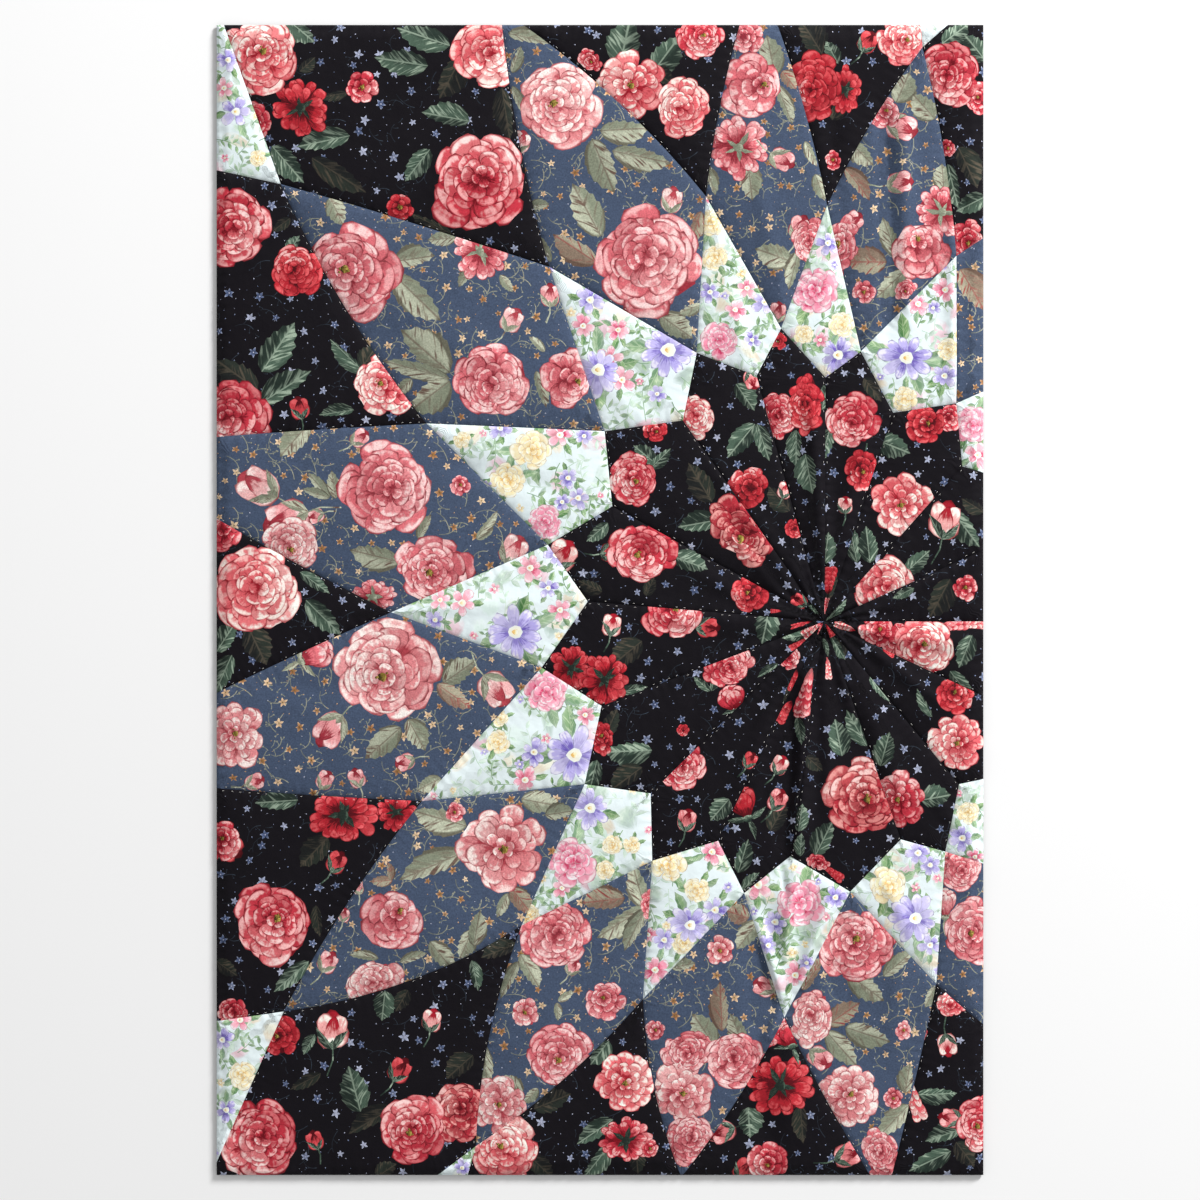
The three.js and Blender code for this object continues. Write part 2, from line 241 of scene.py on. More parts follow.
# Printed flowers of the black and blue cloths: form, x_px, y_px, radius in mm, breadth to height,
# turn in degrees, ink. Salmon and peach ones are on blue cloth, all others on black.
FLOWERS = (
    ("full", 258, 56, 27, 1.0, 20, "pale"), ("back", 301, 108, 20, 0.9, 40, "deep"),
    ("full", 252, 122, 14, 1.0, 0, "rose"), ("button", 362, 88, 11, 1.0, 0, "rose"),
    ("full", 487, 52, 25, 1.0, 70, "pale"), ("full", 478, 182, 34, 1.0, 10, "rose"),
    ("button", 400, 208, 10, 1.0, 0, "deep"), ("full", 228, 228, 27, 1.0, 40, "rose"),
    ("full", 296, 272, 18, 1.0, 80, "deep"), ("full", 385, 385, 21, 1.0, 0, "pale"),
    ("full", 232, 418, 26, 1.0, 15, "rose"), ("bud", 300, 408, 8, 1.0, 100, "deep"),
    ("full", 350, 275, 33, 1.0, 30, "salmon"), ("back", 480, 252, 18, 1.0, 60, "salmon"),
    ("full", 492, 380, 27, 1.1, 0, "salmon"), ("open", 565, 378, 21, 0.82, -15, "salmon"),
    ("bud", 512, 320, 9, 1.0, 60, "peach"), ("bud", 550, 295, 8, 1.0, 90, "salmon"),
    ("full", 560, 105, 28, 1.0, 0, "peach"), ("full", 648, 262, 37, 1.0, 35, "salmon"),
    ("bud", 672, 200, 9, 1.0, 80, "peach"), ("radial", 630, 85, 24, 1.1, 0, "pale"),
    ("full", 683, 108, 21, 0.85, 0, "pale"), ("full", 700, 35, 16, 1.0, 0, "rose"),
    ("open", 750, 87, 22, 0.86, 10, "salmon"), ("back", 738, 148, 20, 1.0, 200, "salmon"),
    ("full", 745, 36, 12, 1.0, 0, "salmon"), ("bud", 782, 160, 9, 1.0, -30, "salmon"),
    ("bud", 800, 228, 9, 1.0, 70, "salmon"), ("full", 814, 88, 24, 0.74, -8, "deep"),
    ("back", 845, 90, 17, 0.62, 0, "deep"), ("bud", 868, 42, 8, 1.0, 60, "deep"),
    ("button", 833, 160, 7, 0.8, 0, "rose"), ("full", 903, 40, 17, 1.0, 0, "pale"),
    ("bud", 902, 128, 11, 1.0, -20, "salmon"), ("bud", 900, 183, 9, 1.0, 10, "salmon"),
    ("bud", 853, 222, 8, 1.0, 40, "salmon"), ("button", 864, 292, 8, 1.0, 0, "salmon"),
    ("open", 920, 252, 20, 1.0, 100, "salmon"), ("back", 942, 212, 18, 1.0, 120, "salmon"),
    ("full", 884, 112, 13, 0.8, 30, "salmon"), ("full", 950, 75, 22, 0.95, 0, "rose"),
    ("full", 980, 98, 11, 1.0, 0, "rose"), ("button", 948, 148, 6, 0.8, 0, "rose"),
    ("full", 968, 240, 14, 0.8, 0, "rose"), ("full", 386, 490, 31, 1.0, 0, "salmon"),
    ("bud", 258, 486, 15, 1.0, 150, "peach"), ("full", 290, 545, 20, 1.1, 0, "peach"),
    ("full", 435, 570, 26, 1.2, -20, "salmon"), ("back", 373, 597, 16, 1.4, 0, "salmon"),
    ("button", 460, 485, 7, 1.0, 0, "salmon"), ("bud", 360, 438, 7, 1.0, 40, "salmon"),
    ("bud", 514, 550, 11, 1.0, 60, "peach"), ("full", 255, 590, 29, 1.0, 0, "pale"),
    ("full", 222, 530, 14, 1.0, 0, "rose"), ("full", 387, 670, 35, 1.0, 20, "peach"),
    ("bud", 330, 730, 13, 1.0, -130, "salmon"), ("tulip", 314, 654, 14, 0.8, -62, "salmon"),
    ("radial", 235, 735, 23, 0.9, 0, "peach"), ("bud", 496, 690, 13, 1.0, -50, "peach"),
    ("bud", 405, 762, 7, 1.0, 200, "salmon"), ("bud", 325, 780, 7, 1.0, 60, "salmon"),
    ("bud", 357, 778, 7, 1.0, 110, "salmon"), ("bud", 255, 782, 7, 1.0, 20, "salmon"),
    ("back", 343, 815, 23, 1.3, 180, "deep"), ("back", 396, 812, 14, 0.9, 40, "deep"),
    ("full", 273, 923, 27, 1.0, 0, "rose"), ("full", 222, 842, 14, 1.0, 0, "rose"),
    ("bud", 337, 862, 8, 1.0, 60, "deep"), ("radial", 503, 848, 30, 1.0, 0, "peach"),
    ("open", 393, 920, 20, 1.0, 55, "salmon"), ("bud", 328, 962, 8, 1.0, 60, "salmon"),
    ("full", 375, 985, 21, 1.3, 10, "peach"), ("button", 455, 812, 7, 1.0, 0, "salmon"),
    ("bud", 333, 1030, 13, 1.0, 90, "pale"), ("full", 280, 1035, 14, 1.0, 0, "deep"),
    ("full", 258, 1140, 27, 1.0, 30, "rose"), ("bud", 432, 1020, 8, 1.0, 80, "pale"),
    ("bud", 400, 1070, 9, 1.0, 60, "deep"), ("bud", 315, 1140, 7, 1.0, 110, "deep"),
    # The rose at 462, 1112 takes the rose inks darkened as painted shade
    ("full", 412, 1128, 23, 1.0, 0, "rose"), ("full", 462, 1112, 21, 1.0, 50, "shaded_rose"),
    ("full", 505, 1150, 23, 1.0, 20, "pale"), ("full", 555, 935, 23, 1.0, 0, "salmon"),
    ("button", 525, 1012, 10, 1.0, 0, "peach"), ("full", 560, 1055, 22, 1.0, 0, "salmon"),
    ("full", 605, 1000, 13, 1.0, 0, "salmon"), ("radial", 500, 1105, 20, 1.0, 0, "peach"),
    ("bud", 573, 967, 6, 1.0, 60, "salmon"), ("radial", 625, 1082, 20, 1.0, 0, "pale"),
    ("back", 626, 1140, 18, 1.2, 0, "rose"), ("button", 650, 1148, 6, 1.0, 0, "rose"),
    ("full", 688, 1050, 18, 1.4, 10, "salmon"), ("full", 735, 1060, 21, 1.1, 0, "salmon"),
    ("radial", 682, 1092, 21, 1.0, 0, "peach"), ("full", 690, 1140, 18, 1.0, 0, "salmon"),
    ("button", 720, 950, 10, 1.0, 0, "peach"), ("button", 655, 1030, 7, 1.0, 0, "salmon"),
    ("bud", 764, 987, 8, 1.0, 150, "salmon"), ("back", 780, 1085, 22, 1.1, 0, "deep"),
    ("tulip", 788, 1035, 12, 1.0, 20, "rose"), ("sliver", 760, 1046, 12, 0.3, 30, "rose"),
    ("sliver", 914, 1098, 17, 0.24, -72, "pale"), ("full", 952, 1004, 10, 1.2, 0, "pale"),
    ("sliver", 921, 1040, 8, 0.34, 78, "rose"), ("full", 818, 862, 8, 1.6, -20, "rose"),
    ("sliver", 832, 872, 9, 0.3, -36, "deep"),
    ("full", 768, 1162, 14, 1.0, 0, "rose"),
    ("bud", 718, 1130, 9, 1.0, 30, "rose"), ("bud", 745, 1170, 9, 1.0, 60, "deep"),
    ("bud", 848, 1155, 10, 1.0, 20, "rose"), ("full", 855, 945, 27, 1.1, 0, "salmon"),
    ("radial", 850, 1095, 21, 1.0, 0, "peach"), ("full", 811, 1018, 20, 0.66, -12, "peach"),
    ("button", 903, 1030, 7, 0.8, 0, "peach"), ("button", 893, 1098, 7, 1.0, 0, "salmon"),
    ("bud", 820, 1058, 9, 1.0, -40, "salmon"), ("full", 885, 1165, 12, 1.0, 0, "salmon"),
    ("full", 982, 1125, 20, 0.85, 0, "rose"), ("bud", 950, 1118, 8, 1.0, 170, "rose"),
    ("bud", 947, 1045, 8, 1.0, -80, "pale"), ("full", 975, 930, 23, 0.9, 0, "salmon"),
    ("full", 960, 868, 15, 1.0, 0, "salmon"), ("tulip", 945, 905, 12, 0.6, 0, "peach"),
    ("full", 632, 480, 18, 0.9, 0, "rose"), ("full", 642, 553, 23, 1.2, 0, "rose"),
    ("full", 672, 612, 20, 1.1, 0, "rose"), ("full", 695, 418, 15, 0.8, 0, "pale"),
    # The rose at 741, 532 takes the rose inks darkened as painted shade
    ("full", 748, 488, 14, 1.0, 0, "deep"), ("full", 741, 532, 27, 1.9, -48, "shaded_rose"),
    ("full", 750, 592, 13, 1.0, 0, "deep"), ("full", 778, 415, 17, 0.6, 0, "rose"),
    ("full", 806, 405, 21, 0.5, 0, "deep"), ("full", 852, 420, 18, 1.0, 0, "rose"),
    ("full", 860, 470, 14, 0.8, 0, "deep"), ("radial", 902, 505, 21, 1.0, 0, "pale"),
    ("bud", 945, 520, 13, 1.0, 80, "pale"), ("full", 883, 587, 24, 1.25, -20, "pale"),
    ("button", 965, 588, 9, 1.0, 0, "rose"), ("full", 922, 649, 21, 1.0, 20, "pale"),
    ("full", 877, 631, 13, 1.3, -10, "rose"), ("radial", 957, 742, 19, 1.0, 0, "pale"),
    # The rose at 862, 795 takes the rose inks darkened as painted shade, for the fold's shadow over it
    ("full", 955, 695, 13, 1.0, 0, "deep"), ("full", 862, 795, 26, 1.0, 0, "shaded_rose"),
    ("radial", 898, 800, 19, 1.0, 0, "rose"), ("full", 680, 765, 18, 1.1, 0, "rose"),
    ("bud", 687, 820, 8, 1.0, 80, "rose"), ("back", 605, 680, 18, 0.9, 0, "deep"),
    ("back", 572, 668, 16, 0.9, 0, "deep"), ("full", 728, 666, 18, 1.5, 20, "rose"),
    ("tulip", 733, 700, 11, 0.9, 30, "rose"), ("full", 789, 658, 8, 0.9, 0, "rose"),
    ("tulip", 743, 805, 14, 0.7, 20, "deep"), ("bud", 778, 800, 8, 1.0, 60, "rose"),
    ("full", 925, 425, 13, 1.0, 0, "deep"), ("full", 950, 418, 9, 1.0, 0, "rose"),
    ("bud", 562, 556, 12, 1.0, 60, "pale"), ("bud", 612, 625, 8, 1.0, 80, "pale"),
    ("full", 795, 528, 7, 1.0, 0, "deep"), ("bud", 785, 490, 6, 1.0, 70, "pale"),
    ("bud", 780, 765, 7, 1.0, 60, "pale"), ("sliver", 806, 690, 17, 0.26, 257, "rose"),
    ("sliver", 801, 706, 8, 0.4, 262, "rose"), ("sliver", 794, 680, 8, 0.3, 255, "deep"),
    ("sliver", 785, 711, 9, 0.42, 235, "deep"), ("sliver", 800, 643, 8, 0.22, 210, "deep"),
    ("sliver", 828, 668, 8, 0.24, 274, "pale"), ("sliver", 888, 652, 5, 0.36, 330, "deep"),
    ("sliver", 845, 627, 8, 0.3, 160, "pale"), ("sliver", 829, 630, 5, 0.7, 300, "deep"),
    ("sliver", 813, 628, 9, 0.32, 222, "pale"), ("sliver", 821, 628, 5, 0.3, 262, "rose"),
    ("sliver", 826, 606, 6, 0.18, 80, "rose"), ("sliver", 829, 581, 10, 0.42, 84, "deep"),
    ("bud", 799, 601, 6, 1.0, 150, "deep"), ("sliver", 802, 624, 8, 0.14, 196, "deep"),
    ("sliver", 776, 611, 4, 0.3, 180, "deep"), ("sliver", 950, 626, 13, 0.26, 8, "rose"),
    ("sliver", 970, 624, 12, 0.24, 0, "pale"), ("full", 778, 340, 6, 1.0, 0, "deep"),
    ("bud", 752, 380, 7, 1.0, -70, "rose"), ("bud", 845, 505, 6, 0.8, 90, "pale"),
    ("bud", 750, 760, 6, 0.6, 60, "deep"),
    ("full", 897, 640, 11, 0.9, 0, "rose"), ("full", 655, 430, 9, 1.2, 0, "deep"),
    ("bud", 612, 552, 8, 1.0, 10, "deep"), ("bud", 708, 628, 8, 1.0, 0, "deep"),
    ("full", 683, 730, 4, 1.0, 0, "deep"), ("full", 603, 738, 12, 0.5, 0, "deep"),
    ("bud", 868, 472, 8, 0.8, -80, "deep"), ("full", 812, 240, 15, 0.9, 0, "salmon"),
    ("full", 840, 248, 22, 0.45, -14, "salmon"), ("bud", 778, 312, 7, 0.8, 80, "salmon"),
    ("bud", 521, 142, 8, 1.0, 70, "peach"), ("bud", 316, 516, 6, 1.0, 200, "salmon"),
    ("bud", 286, 520, 16, 1.0, 200, "salmon"), ("bud", 358, 887, 5, 1.0, 100, "salmon"),
    ("bud", 344, 915, 5, 1.0, 80, "salmon"), ("full", 905, 290, 8, 1.4, 30, "salmon"),
    ("full", 650, 905, 10, 0.6, 0, "salmon"), ("full", 880, 1150, 16, 0.7, 30, "salmon"),
    ("full", 590, 60, 9, 1.5, -40, "rose"), ("bud", 226, 846, 12, 1.0, -30, "deep"),
    ("full", 232, 1012, 11, 1.2, 0, "rose"), ("bud", 722, 1132, 9, 1.0, 200, "rose"),
)

# Printed leaves of each cloth: x_px and y_px of the stalk end, x_px and y_px of the tip, breadth in mm,
# and whether it is a lit leaf or one in the shade
LIT, DIM = "leaf_", "shade_"
LEAVES = {
    "black": (
        (283, 15, 314, 42, 16, LIT), (350, 136, 298, 147, 16, LIT), (272, 146, 303, 182, 17, LIT),
        (312, 158, 365, 192, 16, DIM), (430, 150, 406, 181, 15, LIT), (470, 122, 423, 113, 16, LIT),
        (428, 66, 376, 58, 18, LIT), (450, 46, 398, 28, 18, LIT), (460, 60, 440, 98, 19, DIM),
        (348, 93, 320, 98, 7, DIM), (262, 372, 294, 324, 21, LIT), (260, 404, 310, 372, 17, LIT),
        (258, 390, 216, 360, 20, DIM), (366, 374, 331, 340, 10, LIT), (362, 368, 376, 346, 14, DIM),
        (290, 218, 273, 231, 8, DIM), (288, 254, 299, 236, 9, LIT), (452, 234, 412, 214, 10, DIM),
        (300, 72, 315, 58, 9, DIM), (620, 66, 630, 18, 24, LIT), (652, 74, 679, 37, 20, LIT),
        (502, 88, 510, 140, 14, DIM), (652, 70, 672, 84, 12, DIM), (664, 125, 681, 103, 12, DIM),
        (822, 54, 801, 20, 19, DIM), (838, 64, 826, 42, 11, LIT), (942, 44, 968, 24, 15, LIT),
        (986, 60, 965, 36, 17, LIT), (948, 164, 958, 207, 14, LIT), (958, 147, 977, 187, 17, DIM),
        (986, 196, 957, 211, 14, LIT), (736, 384, 754, 410, 14, LIT), (822, 410, 828, 383, 10, LIT),
        (832, 120, 843, 99, 10, DIM), (864, 378, 881, 401, 11, DIM), (306, 600, 340, 634, 15, LIT),
        (300, 572, 329, 593, 9, LIT), (248, 626, 266, 664, 20, DIM), (216, 652, 236, 622, 15, LIT),
        (232, 655, 214, 694, 15, LIT), (354, 410, 320, 415, 9, LIT), (655, 463, 634, 446, 11, LIT),
        (650, 469, 670, 449, 9, LIT), (712, 502, 689, 464, 17, DIM), (718, 520, 679, 527, 15, LIT),
        (608, 523, 587, 541, 10, LIT), (672, 556, 707, 569, 15, LIT), (602, 592, 579, 581, 10, DIM),
        (642, 641, 611, 666, 18, DIM), (616, 693, 647, 687, 7, LIT), (646, 596, 654, 577, 9, DIM),
        (652, 750, 605, 752, 17, LIT), (642, 767, 611, 790, 15, DIM), (597, 760, 589, 794, 12, LIT),
        (710, 691, 694, 677, 6, LIT), (711, 691, 717, 671, 6, LIT), (605, 737, 617, 709, 11, DIM),
        (755, 424, 728, 457, 15, LIT), (757, 424, 769, 460, 12, LIT), (796, 430, 796, 466, 11, LIT),
        (830, 429, 821, 461, 14, LIT), (805, 454, 812, 493, 15, LIT), (875, 439, 909, 453, 17, LIT),
        (790, 511, 769, 487, 13, DIM), (824, 564, 828, 533, 12, LIT), (857, 563, 849, 523, 11, LIT),
        (870, 563, 866, 527, 14, LIT), (905, 573, 929, 551, 12, LIT), (952, 511, 979, 546, 16, LIT),
        (984, 512, 962, 499, 10, DIM), (950, 579, 930, 617, 18, DIM), (769, 609, 762, 643, 17, LIT),
        (972, 635, 959, 667, 14, LIT), (950, 671, 973, 700, 11, LIT), (842, 756, 835, 720, 16, LIT),
        (867, 746, 847, 711, 12, LIT), (880, 766, 889, 733, 15, LIT), (806, 756, 822, 770, 10, DIM),
        (932, 717, 917, 689, 6, LIT), (846, 656, 834, 637, 9, DIM), (870, 677, 889, 701, 9, LIT),
        (298, 800, 256, 803, 14, LIT), (328, 837, 301, 866, 18, DIM), (309, 961, 275, 991, 12, LIT),
        (215, 961, 237, 975, 11, DIM), (316, 905, 320, 936, 8, DIM), (385, 991, 382, 1020, 16, LIT),
        (315, 1034, 304, 1054, 8, LIT), (361, 1112, 349, 1067, 20, LIT), (393, 1107, 350, 1133, 14, DIM),
        (473, 1055, 447, 1078, 16, DIM), (321, 1073, 291, 1089, 9, DIM), (408, 990, 396, 1011, 11, DIM),
        (376, 1178, 396, 1164, 12, DIM), (472, 960, 478, 990, 9, LIT), (609, 1041, 591, 1064, 14, LIT),
        (613, 1119, 578, 1143, 13, LIT), (609, 1145, 584, 1178, 13, LIT), (636, 1147, 638, 1174, 12, DIM),
        (534, 1109, 570, 1094, 16, DIM), (530, 1156, 552, 1178, 14, DIM), (516, 944, 482, 957, 13, DIM),
        (729, 799, 711, 820, 15, LIT), (738, 873, 748, 840, 12, LIT), (742, 891, 759, 873, 7, LIT),
        (815, 856, 832, 822, 15, LIT), (798, 831, 802, 804, 12, LIT), (800, 856, 801, 833, 8, LIT),
        (748, 1107, 750, 1137, 18, LIT), (800, 1104, 803, 1142, 11, DIM), (917, 1095, 956, 1093, 12, LIT),
        (961, 1129, 926, 1141, 13, LIT), (951, 1151, 910, 1171, 14, LIT), (956, 1142, 974, 1166, 14, DIM),
        (921, 800, 950, 795, 16, LIT), (770, 831, 786, 804, 14, DIM), (826, 621, 846, 600, 8, LIT),
        (827, 600, 837, 576, 6, DIM), (813, 634, 783, 638, 9, LIT), (831, 637, 845, 659, 8, LIT),
        (823, 638, 828, 656, 4, LIT), (792, 680, 783, 703, 5, DIM), (797, 717, 801, 744, 7, LIT),
        (778, 664, 758, 677, 5, LIT), (914, 588, 893, 598, 7, LIT), (824, 614, 808, 606, 6, LIT),
    ),
    "blue": (
        (330, 197, 343, 225, 14, LIT), (394, 262, 434, 256, 16, LIT), (394, 275, 440, 320, 21, LIT),
        (456, 238, 428, 240, 11, LIT), (473, 267, 459, 287, 8, LIT), (450, 373, 402, 331, 24, LIT),
        (450, 379, 384, 361, 12, LIT), (450, 381, 411, 410, 22, LIT), (412, 379, 396, 393, 9, LIT),
        (508, 33, 550, 43, 12, LIT), (512, 73, 521, 47, 8, LIT), (512, 86, 525, 117, 7, LIT),
        (600, 131, 648, 128, 18, LIT), (592, 139, 614, 192, 20, LIT), (612, 151, 670, 163, 17, LIT),
        (601, 237, 573, 185, 21, LIT), (597, 263, 554, 235, 17, DIM), (528, 206, 549, 204, 8, LIT),
        (551, 262, 540, 236, 7, LIT), (701, 211, 691, 242, 11, DIM), (660, 315, 692, 338, 17, LIT),
        (706, 165, 715, 195, 8, LIT), (500, 275, 513, 292, 7, LIT), (545, 352, 529, 337, 6, LIT),
        (536, 371, 546, 407, 9, LIT), (702, 304, 679, 313, 8, LIT), (775, 76, 767, 36, 18, LIT),
        (782, 71, 796, 89, 12, DIM), (777, 85, 792, 124, 10, LIT), (748, 164, 752, 200, 16, LIT),
        (805, 141, 817, 166, 7, LIT), (815, 174, 825, 200, 10, LIT), (792, 262, 756, 249, 18, LIT),
        (798, 251, 789, 289, 10, LIT), (849, 141, 873, 165, 14, LIT), (845, 167, 869, 200, 12, DIM),
        (896, 103, 909, 73, 17, LIT), (935, 119, 913, 95, 17, LIT), (944, 191, 942, 164, 13, LIT),
        (897, 257, 883, 218, 12, LIT), (887, 262, 847, 262, 20, DIM), (906, 270, 877, 297, 15, LIT),
        (960, 269, 984, 309, 20, DIM), (309, 423, 281, 456, 17, LIT), (330, 498, 308, 473, 8, LIT),
        (330, 498, 303, 489, 7, LIT), (336, 499, 332, 471, 9, LIT), (418, 539, 431, 515, 8, LIT),
        (400, 562, 351, 550, 18, LIT), (443, 683, 475, 661, 17, LIT), (437, 684, 471, 708, 13, DIM),
        (401, 727, 366, 758, 17, LIT), (408, 719, 425, 750, 16, LIT), (252, 737, 246, 769, 12, DIM),
        (441, 778, 418, 790, 12, LIT), (476, 539, 493, 530, 7, LIT), (476, 539, 497, 511, 7, LIT),
        (467, 826, 414, 811, 19, LIT), (464, 852, 401, 879, 18, LIT), (393, 880, 371, 881, 8, DIM),
        (392, 880, 388, 862, 6, DIM), (430, 941, 453, 970, 14, LIT), (473, 929, 460, 958, 13, LIT),
        (379, 958, 350, 955, 7, LIT), (400, 962, 427, 953, 7, LIT), (521, 799, 560, 806, 16, LIT),
        (545, 815, 573, 811, 12, LIT), (511, 887, 531, 914, 14, DIM), (508, 893, 497, 917, 8, LIT),
        (474, 946, 480, 911, 13, LIT), (625, 898, 582, 903, 17, DIM), (645, 909, 633, 866, 15, LIT),
        (645, 907, 598, 937, 16, LIT), (645, 909, 625, 950, 12, LIT), (520, 954, 539, 987, 13, LIT),
        (519, 961, 501, 998, 9, LIT), (558, 1001, 573, 991, 6, LIT), (557, 1002, 558, 1020, 6, LIT),
        (482, 1044, 488, 1087, 11, LIT), (523, 1093, 499, 1078, 13, LIT), (671, 968, 695, 963, 9, LIT),
        (715, 1046, 693, 1014, 18, LIT), (722, 1031, 720, 982, 14, DIM), (749, 918, 727, 911, 15, DIM),
        (759, 921, 737, 949, 14, LIT), (743, 1046, 731, 1014, 13, LIT), (802, 990, 823, 957, 11, DIM),
        (848, 974, 883, 1000, 16, LIT), (883, 976, 913, 951, 11, LIT), (827, 1025, 859, 1003, 15, DIM),
        (845, 1027, 889, 1041, 17, LIT), (826, 1031, 856, 1065, 16, LIT), (935, 987, 925, 1007, 9, LIT),
        (905, 1093, 910, 1064, 12, LIT), (909, 1105, 879, 1136, 15, LIT), (538, 1088, 524, 1103, 8, LIT),
    ),
}

# Printed flowers of the white cloth: ink, x_px, y_px, radius in mm
PASTELS = (
    ("lilac", 515, 632, 18), ("pink", 462, 603, 10), ("pink", 530, 568, 9), ("pink", 440, 600, 7),
    ("lilac", 548, 588, 7), ("lilac", 556, 555, 8), ("pink", 560, 610, 8), ("lilac", 435, 620, 7),
    ("yellow", 532, 450, 14), ("yellow", 508, 480, 12), ("lilac", 568, 478, 7), ("lilac", 578, 498, 8),
    ("lilac", 562, 502, 6), ("pink", 560, 435, 9), ("lilac", 584, 436, 6), ("pink", 545, 522, 12),
    ("lilac", 500, 428, 8), ("yellow", 462, 440, 6), ("lilac", 668, 350, 19), ("lilac", 598, 370, 17),
    ("lilac", 590, 300, 10), ("pink", 583, 326, 8), ("pink", 618, 330, 7), ("pink", 610, 358, 9),
    ("pink", 622, 380, 9), ("lilac", 657, 394, 6), ("yellow", 712, 222, 10), ("yellow", 715, 258, 9),
    ("pink", 720, 340, 13), ("lilac", 765, 302, 9), ("lilac", 752, 340, 6), ("pink", 747, 288, 7),
    ("pink", 735, 310, 7), ("lilac", 710, 292, 7), ("pink", 814, 290, 17), ("lilac", 828, 243, 8),
    ("lilac", 838, 355, 13), ("yellow", 804, 334, 7), ("yellow", 842, 325, 9), ("pink", 820, 340, 5),
    ("lilac", 906, 358, 17), ("lilac", 944, 376, 8), ("pink", 918, 304, 8), ("lilac", 933, 308, 5),
    ("yellow", 948, 350, 8), ("yellow", 905, 399, 9), ("pink", 945, 290, 8), ("lilac", 915, 918, 16),
    ("lilac", 918, 853, 9), ("lilac", 930, 865, 7), ("yellow", 888, 885, 13), ("lilac", 930, 945, 8),
    ("pink", 800, 903, 17), ("pink", 758, 885, 11), ("lilac", 835, 897, 8), ("lilac", 775, 922, 9),
    ("pink", 795, 975, 9), ("lilac", 806, 962, 6), ("lilac", 768, 945, 7), ("lilac", 690, 925, 14),
    ("yellow", 668, 865, 12), ("yellow", 697, 890, 9), ("lilac", 715, 910, 10), ("pink", 712, 852, 9),
    ("yellow", 683, 943, 8), ("pink", 655, 970, 9), ("pink", 648, 935, 6), ("lilac", 664, 940, 8),
    ("pink", 572, 862, 17), ("lilac", 590, 808, 14), ("yellow", 612, 845, 7), ("yellow", 605, 870, 7),
    ("yellow", 530, 915, 7), ("pink", 562, 888, 7), ("yellow", 632, 845, 6), ("lilac", 574, 755, 19),
    ("lilac", 534, 752, 9), ("pink", 547, 692, 15), ("yellow", 498, 742, 8), ("yellow", 500, 718, 6),
    ("pink", 525, 780, 9), ("pink", 585, 715, 7), ("lilac", 962, 838, 9), ("yellow", 968, 812, 8),
    ("pink", 975, 857, 6), ("pink", 972, 425, 13), ("pink", 978, 455, 9), ("lilac", 236, 112, 11),
    ("lilac", 228, 60, 8), ("pink", 224, 88, 7), ("yellow", 258, 158, 6), ("lilac", 222, 1040, 8),
    ("yellow", 242, 1075, 10), ("pink", 240, 1020, 8), ("lilac", 226, 1110, 8), ("lilac", 462, 1168, 6),
)


def from_photo(x_px, y_px):
    """The place on the cloth, in millimetres, of a pixel of the photograph."""
    middle = PHOTO_SIZE_PX / 2
    return np.array(((x_px - middle) * MM_PER_PX, (middle - y_px) * MM_PER_PX))


def direction(degrees):
    return np.array((math.cos(math.radians(degrees)), math.sin(math.radians(degrees))))


def left_of(vector):
    return np.array((-vector[1], vector[0]))


# Height of the cloth

def smoothstep(value, low, high):
    t = np.clip((value - low) / (high - low), 0, 1)
    return t * t * (3 - 2 * t)


def fold_height(fold, x, y):
    (x0, y0), (x1, y1), width, height = fold
    length = math.hypot(x1 - x0, y1 - y0)
    along = ((x - x0) * (x1 - x0) + (y - y0) * (y1 - y0)) / length
    side = ((x - x0) * (y1 - y0) - (y - y0) * (x1 - x0)) / length
    fade = min(FOLD_FADE, length / 2)
    lead = -fade / FOLD_LEAD
    reach = smoothstep(along, lead, fade) * smoothstep(length - along, lead, fade)
    return height * reach * np.exp(-((side / width) ** 2))


def ripples(x, y):
    """Fine gathers round the heart of the flower."""
    radius = np.hypot(x - HEART[0], y - HEART[1])
    angle = np.arctan2(y - HEART[1], x - HEART[0])
    swing = RIPPLE_SWING * np.sin(RIPPLE_SWINGS * angle)
    wave = np.sin(RIPPLE_COUNT * angle + swing + radius / RIPPLE_TWIST)
    return RIPPLE_HEIGHT * wave * np.exp(-((radius / RIPPLE_REACH) ** 2)) * smoothstep(radius, *RIPPLE_START)


def sway(x, y):
    """Slow rise and fall of the whole sheet."""
    height, x_length, y_length, x_start, y_start = SWAY_ACROSS
    across = height * np.sin(x / x_length + x_start) * np.sin(y / y_length + y_start)
    height, x_length, y_length = SWAY_SLANTED
    return across + height * np.sin(x / x_length - y / y_length)


def seam_height(x, y):
    """Height of the cloth where it is sewn down, before the puff of the patches."""
    from_heart = np.hypot(x - HEART[0], y - HEART[1])
    dip = HEART_DIP * np.exp(-((from_heart / HEART_DIP_RADIUS) ** 2))
    folds = sum(fold_height(fold, x, y) for fold in FOLDS + CREASES)
    height = SEAM_THICKNESS + sway(x, y) + folds + ripples(x, y) - dip
    return np.maximum(SEAM_THICKNESS * LEAST_SHARE, height)


def puff(from_seam):
    """How far a patch stands over its seams, for a distance from the nearest one."""
    tuck = SEAM_TUCK * (1 - np.exp(-from_seam / SEAM_TUCK_REACH))
    return tuck + PUFF * (1 - np.exp(-from_seam / PUFF_REACH)) - SEAM_SINK


def from_rim(x, y):
    return np.minimum(CUT_WIDTH / 2 - np.abs(x), CUT_LENGTH / 2 - np.abs(y))


def cloth_height(x, y, from_seam):
    """Height of the printed face, brought down to the rolled edge at the rim."""
    z = seam_height(x, y) + puff(from_seam)
    for rim_height, rise in EDGE_SLOPES:
        z = np.minimum(z, rim_height + rise * np.maximum(0, from_rim(x, y)))
    return z


# Outlines of the patches

